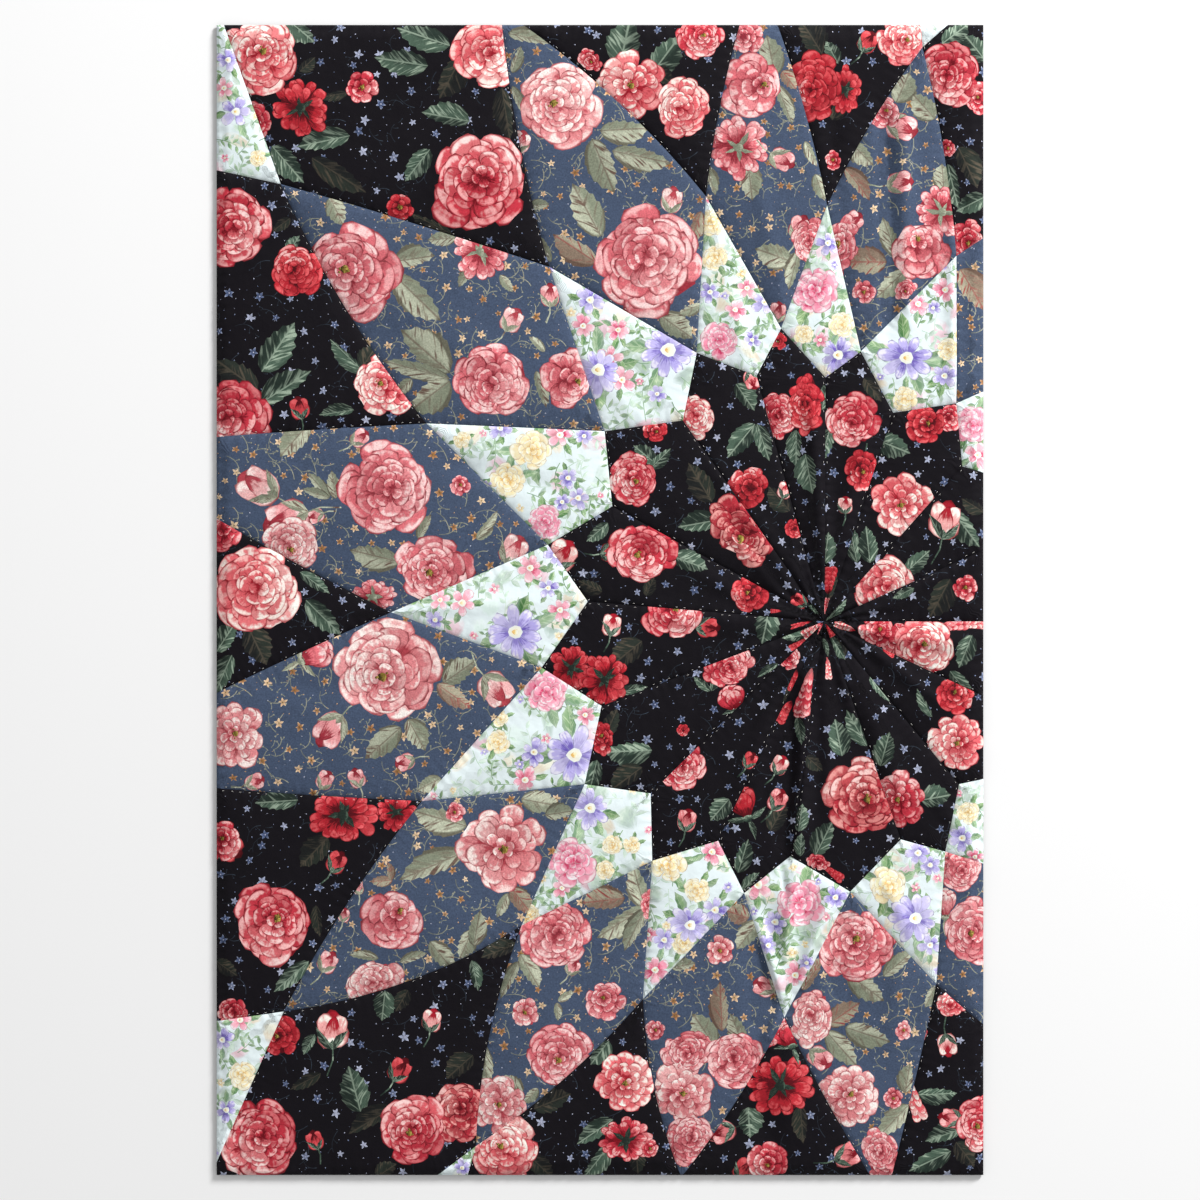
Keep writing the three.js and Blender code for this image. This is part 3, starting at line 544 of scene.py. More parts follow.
def seam_line(a, b, bow=0):
    """Points from a to b without b, swelling to the left of the way by bow."""
    a, b = np.array(a, float), np.array(b, float)
    left = left_of(b - a) / np.linalg.norm(b - a)
    shares = np.arange(SEAM_STEPS) / SEAM_STEPS
    return [a + (b - a) * t + left * 4 * bow * t * (1 - t) for t in shares]


def clipped_to_cut(outline):
    """The outline cut back to the rectangle of the cloth, one side at a time."""
    sides = ((0, 1, CUT_WIDTH), (0, -1, CUT_WIDTH), (1, 1, CUT_LENGTH), (1, -1, CUT_LENGTH))
    for axis, side, limit in sides:
        kept = []
        for here, there in zip(outline, outline[1:] + outline[:1]):
            inside_here = side * here[axis] <= limit / 2
            inside_there = side * there[axis] <= limit / 2
            if inside_here:
                kept.append(here)
            if inside_here != inside_there:
                t = (side * limit / 2 - here[axis]) / (there[axis] - here[axis])
                kept.append(here + (there - here) * t)
        outline = kept
        if not outline:
            return []
    return outline


def signed_area(outline):
    x, y = np.array(outline).T
    return 0.5 * float(np.sum(x * np.roll(y, -1) - np.roll(x, -1) * y))


def evenly_stepped(outline):
    """The closed outline with its long stretches divided and its doubled points left out."""
    points = []
    for here, there in zip(outline, outline[1:] + outline[:1]):
        length = float(np.linalg.norm(there - here))
        if length < SHORTEST_STRETCH:
            continue
        steps = max(1, math.ceil(length / OUTLINE_STEP))
        points.extend(here + (there - here) * step / steps for step in range(steps))
    return points


class Patch:
    """One sewn-in piece of cloth: its name, its print and its outline, counter-clockwise."""

    def __init__(self, name, cloth, outline):
        self.name = name
        self.cloth = cloth
        self.outline = np.array(outline)
        self.inks = []

    def holds(self, point):
        return bool(inside(self.outline, np.array([point]))[0])


def inside(outline, points):
    """Which of the points lie inside the closed outline."""
    a, b = outline, np.roll(outline, -1, axis=0)
    x, y = points[:, 0, None], points[:, 1, None]
    crosses = (a[None, :, 1] > y) != (b[None, :, 1] > y)
    rise = b[:, 1] - a[:, 1]
    rise[rise == 0] = 1  # a level edge is never crossed, so any value serves
    at = a[None, :, 0] + (y - a[None, :, 1]) * (b[:, 0] - a[:, 0])[None] / rise[None]
    return (np.sum(crosses & (x < at), axis=1) % 2) == 1


def nearest_seam(outline, points):
    """Distance to the outline, the way inwards from there, and how far round it that place lies."""
    a, b = outline, np.roll(outline, -1, axis=0)
    run = b - a
    length = np.linalg.norm(run, axis=1)
    along = np.concatenate(([0], np.cumsum(length)[:-1]))
    distance = np.full(len(points), np.inf)
    inward = np.zeros((len(points), 2))
    place = np.zeros(len(points))
    for k in range(len(a)):
        t = np.clip(((points - a[k]) @ run[k]) / length[k] ** 2, 0, 1)
        found = np.linalg.norm(points - (a[k] + t[:, None] * run[k]), axis=1)
        nearer = found < distance
        distance[nearer] = found[nearer]
        inward[nearer] = left_of(run[k]) / length[k]
        place[nearer] = along[k] + t[nearer] * length[k]
    return distance, inward, place


def make_patches():
    """All the patches that show, from the heart outwards, petal by petal."""
    found = []

    def add(kind, number, cloth, outline):
        outline = clipped_to_cut(outline)
        if len(outline) > 2 and abs(signed_area(outline)) > SMALLEST_PATCH:
            if signed_area(outline) < 0:
                outline = outline[::-1]
            found.append(Patch(f"{kind}_{number:02d}", cloth, evenly_stepped(outline)))

    def loop(*edges):
        return [point for edge in edges for point in seam_line(*edge)]

    for index, petal in enumerate(PETALS):
        following = PETALS[(index + 1) % len(PETALS)]
        before = PETALS[index - 1]
        here, nxt, side = petal["inner"], following["inner"], petal["side"]
        number = index + 1
        add("inner", number, "black", loop((HEART, here), (here, side), (side, nxt), (nxt, HEART)))
        add("kite", number, "white", loop(
            (here, before["side"]), (before["side"], petal["tip"]), (petal["tip"], side), (side, here)))
        add("blue", number, "blue", loop(
            (side, petal["tip"]), (petal["tip"], petal["blue"], petal["bow"][0]),
            (petal["blue"], following["tip"], petal["bow"][1]), (following["tip"], side)))
        add("ground", number, "black", loop(
            (petal["tip"], before["blue"], -before["bow"][1]), (before["blue"], petal["ground"]),
            (petal["ground"], petal["blue"]), (petal["blue"], petal["tip"], -petal["bow"][0])))
        far = np.array(petal["ground"]) + following["ground"] - np.array(petal["blue"])
        add("corner", number, "white", loop(
            (petal["blue"], petal["ground"]), (petal["ground"], far),
            (far, following["ground"]), (following["ground"], petal["blue"])))
    return found


# Printed shapes

# How much wider a petal is towards its tip than towards its base, how far its rim waves, and the range
# of its tip's notch, all as shares of the petal
PETAL_FLARE = 0.3
PETAL_WAVE = 0.06
PETAL_NOTCH = (-0.05, 0.14)
FULL_TURN = 6.28

# A leaf's bend as a share of its length, how full it is near its stalk, how blunt it is, and its
# breadth at the notches between its teeth
LEAF_BEND = 0.1
LEAF_FULLNESS = 0.8
LEAF_BLUNTNESS = 0.7
LEAF_NOTCH = 0.86


class Ink:
    """One printed shape: its outline, its own frame of length and breadth, and its inks.

    line, vein and soft say how strongly its edge is drawn, its veins show and its edge fades."""

    def __init__(self, outline, centre, along, across, inks, line=0.0, vein=0.0, soft=0.0, seed=0.0):
        self.outline = outline
        self.centre = centre
        self.inverse = np.linalg.inv(np.column_stack((along, across)))
        self.tones = inks
        self.drawn = (line, vein, soft)
        self.seed = seed


def shifted(inks, dice, spread=0.12):
    """The same inks a little darker or lighter, as each petal is."""
    factor = 1 + dice.uniform(-spread, spread)
    return tuple(np.clip(ink * factor, 0, 0.95) for ink in inks)


def blended(first, second, share):
    return tuple(a * (1 - share) + b * share for a, b in zip(first, second))


def petal_ink(centre, angle, half_length, half_width, inks, dice, line=0.8, soft=0.0, points=13):
    """A petal that widens towards its wavy, often notched tip, its length along angle in degrees."""
    along = direction(angle) * half_length
    across = left_of(direction(angle)) * half_width
    wave, shift = dice.choice((3, 4, 5)), dice.uniform(0, FULL_TURN)
    notch = dice.uniform(*PETAL_NOTCH) if line > 0 else 0
    outline = []
    for k in range(points):
        t = 2 * math.pi * k / points
        swell = 1 + PETAL_WAVE * math.sin(wave * t + shift) - (notch if k == 0 else 0)
        sideways = math.sin(t) * (1 + PETAL_FLARE * math.cos(t))
        outline.append(centre + (along * math.cos(t) + across * sideways) * swell)
    return Ink(outline, centre, along, across, shifted(inks, dice), line, 0, soft, dice.random())


def leaf_ink(base, angle, length, width, inks, dice, teeth=6, soft=0.0, line=0.35):
    """A pointed leaf with toothed edges, from its base along angle in degrees."""
    way, side = direction(angle), left_of(direction(angle))
    bend = dice.uniform(-LEAF_BEND, LEAF_BEND) * length
    upper, lower = [], []
    for k in range(1, 2 * teeth):
        t = k / (2 * teeth)
        is_notch = k % 2 == 1
        breadth = width / 2 * math.sin(math.pi * t ** LEAF_FULLNESS) ** LEAF_BLUNTNESS
        breadth *= LEAF_NOTCH if is_notch else 1.0
        reach = length * (t + (-0.01 if is_notch else 0.035))
        spine = base + way * reach + side * bend * math.sin(math.pi * t)
        upper.append(spine + side * breadth)
        lower.append(spine - side * breadth * dice.uniform(0.92, 1.04))
    outline = [base, *lower, base + way * length * 1.03, *reversed(upper)]
    centre = base + way * length / 2
    return Ink(outline, centre, way * length / 2, side * width / 2 * dice.choice((-1, 1)),
               shifted(inks, dice, 0.2), line, 1 - soft, soft, dice.random())


# How much paler one side of a rose is than the other on each cloth, and on black the lightest tone of
# its palest petals, those that glow more than PALEST_FROM
LIT_CONTRAST = {"black": 0.85, "blue": 0.5, "white": 0.5}
PALEST = tone(255, 240, 234)
PALEST_FROM = 0.55

# How unevenly the petals of a ring lie: round it as a share of their spacing, in size, in distance from
# its middle, in degrees of turn, and in how they glow, from dull below zero to bright above it
RING_SCATTER = 0.36
RING_STRETCH = (0.8, 1.2)
RING_DISTANCE = (0.88, 1.08)
RING_TURN = 15
RING_GLOW = (-0.6, 0.5)


def ring_of_petals(inks, centre, turn, squash, ring, radius, dice, lit=None, line=0.8, cloth="white"):
    """A ring of overlapping petals. ring holds count, place, half length and half width as shares of
    the radius, squash flattens it, and lit is the angle of the flower's paler side."""
    count, place, half_length, half_width = ring
    made = []
    start = dice.uniform(0, 360)
    for k in range(count):
        angle = start + 360 * (k + dice.uniform(-RING_SCATTER, RING_SCATTER)) / count
        stretch = dice.uniform(*RING_STRETCH)
        spot = direction(angle) * radius * place * dice.uniform(*RING_DISTANCE) * squash
        tilt = direction(angle) * squash
        heading = math.degrees(math.atan2(tilt[1], tilt[0]))
        length = radius * half_length * stretch * math.hypot(*tilt)
        width = radius * half_width * stretch * math.hypot(tilt[1] / squash[1] * squash[0],
                                                           tilt[0] / squash[0] * squash[1])
        glow = dice.uniform(*RING_GLOW)
        if lit is not None:
            glow += LIT_CONTRAST[cloth] * math.cos(math.radians(angle - lit))
        palest = PALEST * 0.5 + inks[2] * 0.5 if cloth == "black" and glow > PALEST_FROM else inks[2]
        bright = (blended(inks, (inks[1],) * 3, 0.35)[0], blended(inks, (inks[2],) * 3, 0.3)[1], palest)
        dull = (inks[0] * 0.85, blended(inks, (inks[0],) * 3, 0.3)[1], blended(inks, (inks[1],) * 3, 0.75)[2])
        petal_inks = blended(inks, bright, min(1, glow)) if glow > 0 else blended(inks, dull, min(1, -glow))
        heading = heading + turn + dice.uniform(-RING_TURN, RING_TURN)
        made.append(petal_ink(centre + turned(spot, turn), heading, length, width, petal_inks, dice, line))
    return made


def turned(vector, degrees):
    x_way = direction(degrees)
    return x_way * vector[0] + left_of(x_way) * vector[1]


def squash_of(breadth_to_height):
    """Factors for a flower's breadth and height that leave its longer radius as it is."""
    return (min(1.0, breadth_to_height), min(1.0, 1 / breadth_to_height))


# Rings of each form of rose, outside in: count, place, half length and half width as shares of its radius
FULL_RINGS = ((9, 0.68, 0.32, 0.33), (9, 0.57, 0.28, 0.29), (8, 0.46, 0.25, 0.25), (7, 0.35, 0.21, 0.2),
              (6, 0.24, 0.17, 0.17), (4, 0.11, 0.13, 0.12))
OPEN_RINGS = ((6, 0.54, 0.45, 0.44), (6, 0.44, 0.38, 0.34), (5, 0.28, 0.27, 0.24), (4, 0.13, 0.16, 0.14))
RADIAL_RINGS = ((11, 0.65, 0.34, 0.27), (10, 0.48, 0.29, 0.21), (7, 0.29, 0.22, 0.15), (5, 0.12, 0.13, 0.09))
BUTTON_RINGS = ((8, 0.62, 0.34, 0.32), (5, 0.3, 0.28, 0.24))
BACK_RINGS = ((13, 0.7, 0.31, 0.18), (10, 0.5, 0.34, 0.17))

# A rose below this radius, in mm, has every other ring. Shares of a rose's radius: how far its heart
# leans aside, its dark core, and its stamens, which this share of full roses shows.
SMALL_ROSE = 15
FULL_LEAN, OPEN_LEAN, LEAST_LEAN = 0.16, 0.42, 0.04
ROSE_CORE, RADIAL_CORE = 0.78, 0.62
ROSE_STAMENS, BUTTON_STAMENS = 0.09, 0.14
OPEN_HEARTED = 0.6

# Rings of a loose painted blossom
PASTEL_RINGS = ((8, 0.62, 0.34, 0.34), (7, 0.46, 0.28, 0.26), (6, 0.3, 0.22, 0.2), (3, 0.12, 0.16, 0.14))


def rose(form, centre, radius, breadth, turn, inks, cloth, dice):
    """A rose seen from above: full, radial with narrow petals, a small button, or open, a cup of broad
    petals whose heart lies the way turn points."""
    rings = {"full": FULL_RINGS, "open": OPEN_RINGS, "radial": RADIAL_RINGS, "button": BUTTON_RINGS}[form]
    if radius < SMALL_ROSE and form == "full":
        rings = FULL_RINGS[::2]
    squash = np.array(squash_of(breadth))
    lit = dice.uniform(0, 360)
    lean = direction(dice.uniform(0, 360)) * radius * (FULL_LEAN if form == "full" else LEAST_LEAN)
    if form == "open":
        lean = direction(turn) * radius * OPEN_LEAN
    core = radius * (RADIAL_CORE if form == "radial" else ROSE_CORE)
    made = [petal_ink(centre, turn, core * squash[0], core * squash[1], (inks[0],) * 3, dice, 0)]
    for depth, ring in enumerate(rings):
        share = depth / len(rings)
        ring_inks = blended(inks, (inks[0] * 0.8, inks[1] * 0.85, inks[2]), share)
        made += ring_of_petals(ring_inks, centre + lean * share, turn, squash, ring, radius, dice, lit,
                               cloth=cloth)
    if form != "full" or dice.random() < OPEN_HEARTED:
        made += stamens(centre + lean, radius * (BUTTON_STAMENS if form == "button" else ROSE_STAMENS), dice)
    return made


def stamens(centre, radius, dice):
    made = [petal_ink(centre, 0, radius, radius * 0.9, INKS["stamen"], dice, 0, points=8)]
    for _ in range(5):
        spot = centre + direction(dice.uniform(0, 360)) * radius * dice.uniform(0.6, 1.5)
        made.append(petal_ink(spot, 0, radius * 0.3, radius * 0.3, INKS["stamen"], dice, 0, points=6))
    return made


def back_rose(centre, radius, breadth, turn, inks, green, dice):
    """A rose seen from behind, with its green calyx over the petals."""
    squash = np.array(squash_of(breadth))
    core = radius * 0.8
    made = [petal_ink(centre, turn, core * squash[0], core * squash[1], (inks[0],) * 3, dice, 0)]
    for ring in BACK_RINGS:
        made += ring_of_petals(inks, centre, turn, squash, ring, radius, dice, turn)
    calyx = (green[0] * 0.8, green[0], green[1])
    for k in range(5):
        angle = turn + 72 * k + dice.uniform(-26, 26)
        length, width = radius * dice.uniform(0.3, 0.62), radius * dice.uniform(0.12, 0.22)
        made.append(leaf_ink(centre, angle, length, width, calyx, dice, teeth=2))
    made.append(petal_ink(centre, 0, radius * 0.17, radius * 0.15, calyx, dice, points=8))
    return made


# Petals of a half-open rose: height, place aside, half length and half width as shares of its radius,
# and lean in degrees
TULIP_ROWS = ((0.46, -0.3, 0.42, 0.36, 26), (0.54, 0.04, 0.42, 0.4, 0), (0.44, 0.34, 0.42, 0.36, -26),
              (0.08, -0.46, 0.62, 0.42, 20), (0.08, 0.46, 0.62, 0.42, -20), (0.2, -0.12, 0.6, 0.44, 8),
              (-0.06, 0.1, 0.66, 0.56, -6))


def tulip_rose(centre, radius, breadth, turn, inks, green, dice):
    """A half-open rose seen from the side, its mouth the way turn points."""
    squash = squash_of(breadth)
    up, side = direction(turn + 90), direction(turn)
    made = [leaf_ink(centre - up * radius * 0.7, turn + 90 + lean, radius * 1.0, radius * 0.3, green, dice, 2)
            for lean in (-75, 75, 180)]
    for high, aside, half_length, half_width, lean in TULIP_ROWS:
        spot = centre + up * radius * high * squash[1] + side * radius * aside * squash[0]
        made.append(petal_ink(spot, turn + 90 + lean, radius * half_length, radius * half_width * squash[0],
                              inks, dice, 0.9))
    foot = centre - up * radius * 0.68 * squash[1]
    made.append(petal_ink(foot, turn + 90, radius * 0.18, radius * 0.24, green, dice, 0.5, points=8))
    return made


# Petals of a bud after its first: places along and aside, lean in degrees, half length and half width,
# as shares of its radius, and the lean and length of its sepals
BUD_ROWS = ((0, 0.3, 12, 0.86, 0.42), (0, -0.3, -12, 0.8, 0.36), (-0.1, 0, 176, 0.8, 0.4))
SEPALS = ((-38, 1.2), (2, 0.5), (36, 1.35))


def bud(centre, radius, turn, inks, green, dice):
    """A bud with its sepals, pointing along turn in degrees, and a short stem."""
    up = direction(turn)
    base = centre - up * radius
    inks = (inks[0], *blended(inks[1:], (inks[2],) * 2, 0.34))
    stem = [base - up * radius * 1.3 + left_of(up) * radius * 0.3, base - up * radius * 0.5, base]
    made = [ribbon_ink(stem, 0.9, green, dice)]
    made.append(petal_ink(centre, turn + 180, radius, radius * 0.76, inks, dice, 0.9))
    for high, aside, lean, half_length, half_width in BUD_ROWS:
        spot = centre + up * radius * high + left_of(up) * radius * aside
        made.append(petal_ink(spot, turn + lean, radius * half_length, radius * half_width, inks, dice))
    for lean, reach in SEPALS:
        length = radius * reach * dice.uniform(0.9, 1.15)
        made.append(leaf_ink(base, turn + lean, length, radius * 0.42, green, dice, teeth=2))
    return made


def ribbon_ink(points, width, inks, dice):
    """A narrow printed line through the points."""
    points = [np.array(p, float) for p in points]
    left, right = [], []
    for k, here in enumerate(points):
        way = points[min(k + 1, len(points) - 1)] - points[max(k - 1, 0)]
        side = left_of(way) / max(1e-6, np.linalg.norm(way)) * width / 2
        left.append(here + side)
        right.append(here - side)
    middle = (points[0] + points[-1]) / 2
    reach = max(width, float(np.linalg.norm(points[-1] - points[0])) / 2)
    return Ink(right + left[::-1], middle, np.array((reach, 0)), np.array((0, reach)), inks,
               seed=dice.random())


def star(centre, radius, inks, heart, dice):
    """A tiny flower of five pointed petals."""
    start = dice.uniform(0, 72)
    made = []
    for k in range(5):
        angle = start + 72 * k + dice.uniform(-9, 9)
        length = radius * dice.uniform(0.85, 1.1)
        tip = centre + direction(angle) * length
        waist = centre + direction(angle) * length * 0.5
        side = left_of(direction(angle)) * length * 0.26
        outline = [centre - side * 0.4, waist - side, tip, waist + side, centre + side * 0.4]
        made.append(Ink(outline, waist, direction(angle) * length * 0.5, side, shifted(inks, dice, 0.2),
                        seed=dice.random()))
    made.append(petal_ink(centre, 0, radius * 0.15, radius * 0.15, heart, dice, 0, points=5))
    return made


def vine(start, heading, length, width, inks, dice):
    """A curling stem with short forked twigs that end in tiny knobs."""
    points, spot, angle = [], np.array(start, float), heading
    curl = dice.choice((-1, 1)) * dice.uniform(6, 18)
    steps = 6
    made = []
    for k in range(steps):
        points.append(spot.copy())
        spot = spot + direction(angle) * length / steps
        angle += curl * (1 + 0.25 * k)
        if k % 2:
            lean = angle + (55 if k % 4 == 1 else -55)
            reach = length * dice.uniform(0.16, 0.26)
            end = spot + direction(lean) * reach
            halfway = spot + direction(lean - 12) * reach * 0.5
            made.append(ribbon_ink([spot, halfway, end], width * 0.8, inks, dice))
            made.append(petal_ink(end, lean, width * 1.3, width * 1.1, inks, dice, 0, points=6))
    made.append(ribbon_ink(points, width, inks, dice))
    return made


def daisy(centre, radius, inks, dice):
    """A soft pastel flower of broad petals round a pale eye with a yellow middle."""
    made = []
    count = dice.choice((5, 6, 6)) if radius < 12 else dice.choice((9, 10, 11))
    start = dice.uniform(0, 60)
    for k in range(count):
        angle = start + 360 * k / count + dice.uniform(-9, 9)
        length = radius * dice.uniform(0.76, 1.1)
        width = length * (0.22 if radius >= 12 else 0.31)
        spot = centre + direction(angle) * length * 0.56
        petal_inks = blended(inks, (inks[2],) * 3, dice.uniform(0, 0.45))
        made.append(petal_ink(spot, angle, length * 0.48, width, petal_inks, dice, 0.9, 0.2, points=10))
    pale = (INKS["yellow"][2],) * 3
    made.append(petal_ink(centre, 0, radius * 0.27, radius * 0.24, pale, dice, 0, 0.8, points=8))
    made.append(petal_ink(centre, 0, radius * 0.12, radius * 0.1, INKS["yellow"], dice, 0.9, 0.1, points=7))
    return made


def pastel_rose(centre, radius, inks, dice):
    """A loose painted blossom whose petals fade into each other."""
    made = []
    for ring in PASTEL_RINGS:
        made += ring_of_petals(inks, centre, 0, np.array((1, 1)), ring, radius, dice)
    for ink in made:
        ink.drawn = (0.85, 0.0, 0.3)
    return made


def pastel_flower(ink_name, centre, radius, dice):
    inks = INKS[ink_name]
    if ink_name == "lilac" or (ink_name == "pink" and radius < 12):
        return daisy(centre, radius, inks, dice)
    return pastel_rose(centre, radius, inks, dice)


# Laying the print out on the patches

def patch_at(patches, point, cloth):
    """The patch of this cloth that holds the point, or the nearest such one."""
    fitting = [patch for patch in patches if patch.cloth == cloth]
    for patch in fitting:
        if patch.holds(point):
            return patch
    return min(fitting, key=lambda patch: nearest_seam(patch.outline, np.array([point]))[0][0])


def spots_in(patch, spacing, dice):
    """Uneven places all over a patch, about spacing apart."""
    low, high = patch.outline.min(0), patch.outline.max(0)
    spots = []
    rows = int((high[1] - low[1]) / spacing) + 2
    columns = int((high[0] - low[0]) / spacing) + 2
    for row in range(rows):
        for column in range(columns):
            scatter = (dice.uniform(-0.4, 0.4), dice.uniform(-0.4, 0.4))
            spots.append(low + (np.array((column + 0.5 * (row % 2), row)) + scatter) * spacing)
    spots = np.array(spots)
    near = inside(patch.outline, spots)
    distance = nearest_seam(patch.outline, spots)[0]
    return [spot for spot, keep in zip(spots, near | (distance < spacing * 0.3)) if keep]


def clear_of(spot, flowers, margin):
    return all(math.hypot(*(spot - centre)) > radius + margin for centre, radius in flowers)


# Spacing of tendrils and width of their stems on each cloth, in mm, the spacing of specks and the share
# of them that is printed, and the spacing, smallest and largest radius of stars
VINES = {"black": (24, 0.42), "blue": (14, 0.56)}
SPECK_SPACING = 7
SPECK_SHARE = 0.75
STARS = {"black": (18, 2.4, 3.7), "blue": (15, 2.2, 3.6)}


def print_ground(patch, flowers, dice):
    """Small stars, specks and tendrils all over a black or blue patch."""
    stars, vines = INKS["star_" + patch.cloth], INKS["vine_" + patch.cloth]
    heart = INKS["dot"] if patch.cloth == "black" else INKS["stamen"]
    made = []
    spacing, width = VINES[patch.cloth]
    for spot in spots_in(patch, spacing, dice):
        if clear_of(spot, flowers, -3):
            made += vine(spot, dice.uniform(0, 360), dice.uniform(12, 20), width, vines, dice)
    for spot in spots_in(patch, SPECK_SPACING, dice):
        if dice.random() < SPECK_SHARE and clear_of(spot, flowers, -1):
            size = dice.uniform(0.25, 0.65)
            inks = INKS["dot"] if dice.random() < 0.35 else stars
            made.append(petal_ink(spot, dice.uniform(0, 180), size, size * 0.6, inks, dice, 0, points=5))
    spacing, smallest, largest = STARS[patch.cloth]
    for spot in spots_in(patch, spacing, dice):
        if clear_of(spot, flowers, 0):
            faded = blended(stars, (stars[dice.choice((0, 2))],) * 3, dice.uniform(0, 0.7))
            made += star(spot, dice.uniform(smallest, largest), faded, heart, dice)
    return made


# How strongly the edge of a printed leaf is drawn on each cloth
LEAF_LINES = {"black": 0.35, "blue": 0.9}


def print_leaves(leaves, line, dice):
    made = []
    for base, tip, breadth, inks in leaves:
        way = tip - base
        made.append(leaf_ink(base, math.degrees(math.atan2(way[1], way[0])), float(np.linalg.norm(way)),
                             breadth, inks, dice, line=line))
    return made


def sprig(start, heading, length, inks, dice):
    """A soft curved stem with small leaves either side."""
    points, spot, angle = [], np.array(start, float), heading
    curl = dice.uniform(-14, 14)
    steps = 5
    made = []
    for k in range(steps):
        points.append(spot.copy())
        spot = spot + direction(angle) * length / steps
        angle += curl
        lean = angle + (52 if k % 2 else -52) + dice.uniform(-12, 12)
        made.append(leaf_ink(spot, lean, length * dice.uniform(0.28, 0.42), length * dice.uniform(0.12, 0.18),
                             inks, dice, teeth=2, soft=0.32, line=0.25))
    made.append(ribbon_ink([*points, spot], 0.5, inks, dice))
    return made


def print_white(patch, pastels, dice):
    """Soft sprigs and blossoms in pastel inks over a white patch."""
    made = []
    flowers = [(centre, radius) for _, centre, radius in pastels]
    for spot in spots_in(patch, 22, dice):
        tint = INKS[dice.choice(("yellow", "mist", "pink", "green", "yellow"))]
        wash = blended(tint, (GROUNDS["white"],) * 3, 0.55)
        made.append(petal_ink(spot, dice.uniform(0, 180), dice.uniform(6, 12), dice.uniform(4, 8), wash, dice,
                              0, 1.0))
    for spot in spots_in(patch, 17, dice):
        made += sprig(spot, dice.uniform(0, 360), dice.uniform(14, 24), INKS["mist"], dice)
    for spot in spots_in(patch, 17, dice):
        if clear_of(spot, flowers, -3):
            inks = blended(INKS["mist"], INKS["green"], dice.uniform(0.55, 1.0))
            made += sprig(spot, dice.uniform(0, 360), dice.uniform(12, 20), inks, dice)
    for centre, radius in flowers:
        for k in range(4):
            angle = 90 * k + dice.uniform(-30, 30)
            base = centre + direction(angle) * radius * 0.6
            inks = blended(INKS["green"], INKS["mist"], dice.uniform(0, 0.3))
            made.append(leaf_ink(base, angle, radius * dice.uniform(0.8, 1.2), radius * 0.5, inks,
                                 dice, teeth=3, soft=0.2, line=0.3))
    for ink_name, centre, radius in sorted(pastels, key=lambda row: row[2]):
        made += pastel_flower(ink_name, centre, radius, dice)
    for spot in spots_in(patch, 24, dice):
        if clear_of(spot, flowers, 1):
            inks = INKS[dice.choice(("pink", "lilac", "yellow", "pink"))]
            made += daisy(spot, dice.uniform(2.5, 4), inks, dice)
    return made


# Petal rows of a sliver, from its wide end: place along it, from -1 to 1
SLIVER_ROWS = (0.62, 0.34, 0.06, -0.24, -0.52)


def sliver(centre, half_length, breadth, turn, inks, dice):
    """A wedge of overlapping petals, where seams leave no more of a flower. turn points to its wide end."""
    along, across = direction(turn), left_of(direction(turn))
    made = []
    for place in SLIVER_ROWS:
        half_width = half_length * breadth * (0.72 + 0.42 * place)
        for side in (-1, 1):
            spot = centre + along * half_length * place + across * half_width * side * 0.45
            shade = blended(inks, (inks[dice.choice((0, 2))],) * 3, dice.uniform(0, 0.3))
            lean = side * dice.uniform(4, 20)
            length = half_length * dice.uniform(0.32, 0.42)
            made.append(petal_ink(spot, turn + lean, length, half_width * 0.72, shade, dice, points=10))
    return made


def flower_inks(form, centre, radius, breadth, turn, inks, cloth, dice):
    green = INKS["leaf_" + cloth]
    if form == "back":
        return back_rose(centre, radius, breadth, turn, inks, green, dice)
    if form == "tulip":
        return tulip_rose(centre, radius, breadth, turn, inks, green, dice)
    if form == "sliver":
        return sliver(centre, radius, breadth, turn, inks, dice)
    if form == "bud":
        return bud(centre, radius, turn, inks, green, dice)
    return rose(form, centre, radius, breadth, turn, inks, cloth, dice)


# Forms of flower, the lowest first: those seen from behind lie under the open ones
FORMS = ("back", "bud", "tulip", "button", "sliver", "radial", "open", "full")


def lowest_first(row):
    """Sorts a patch's flowers by form, and by radius where the form is the same."""
    return FORMS.index(row[0]), row[2]


BLUE_CLOTH_INKS = ("salmon", "peach")
FIRST_PRINT_SEED = 1000


def lay_out_print(patches):
    """Gives every patch its printed shapes, the lowest first."""
    rows, leaves, pastels = ({patch.name: [] for patch in patches} for _ in range(3))
    for cloth, cloth_leaves in LEAVES.items():
        for x_px, y_px, x_tip_px, y_tip_px, breadth, kind in cloth_leaves:
            base, tip = from_photo(x_px, y_px), from_photo(x_tip_px, y_tip_px)
            home = patch_at(patches, (base + tip) / 2, cloth)
            leaves[home.name].append((base, tip, breadth, INKS[kind + cloth]))
    for form, x_px, y_px, radius, breadth, turn, ink_name in FLOWERS:
        centre = from_photo(x_px, y_px)
        home = patch_at(patches, centre, "blue" if ink_name in BLUE_CLOTH_INKS else "black")
        rows[home.name].append((form, centre, radius, breadth, turn, INKS[ink_name]))
    for ink_name, x_px, y_px, radius in PASTELS:
        centre = from_photo(x_px, y_px)
        pastels[patch_at(patches, centre, "white").name].append((ink_name, centre, radius))
    for number, patch in enumerate(patches):
        dice = random.Random(FIRST_PRINT_SEED + number)
        if patch.cloth == "white":
            patch.inks = print_white(patch, pastels[patch.name], dice)
            continue
        flowers = [(centre, radius) for _, centre, radius, *_ in rows[patch.name]]
        patch.inks = print_ground(patch, flowers, dice)
        patch.inks += print_leaves(leaves[patch.name], LEAF_LINES[patch.cloth], dice)
        for form, centre, radius, breadth, turn, inks in sorted(rows[patch.name], key=lowest_first):
            patch.inks += flower_inks(form, centre, radius, breadth, turn, inks, patch.cloth, dice)


# Meshes of the patches

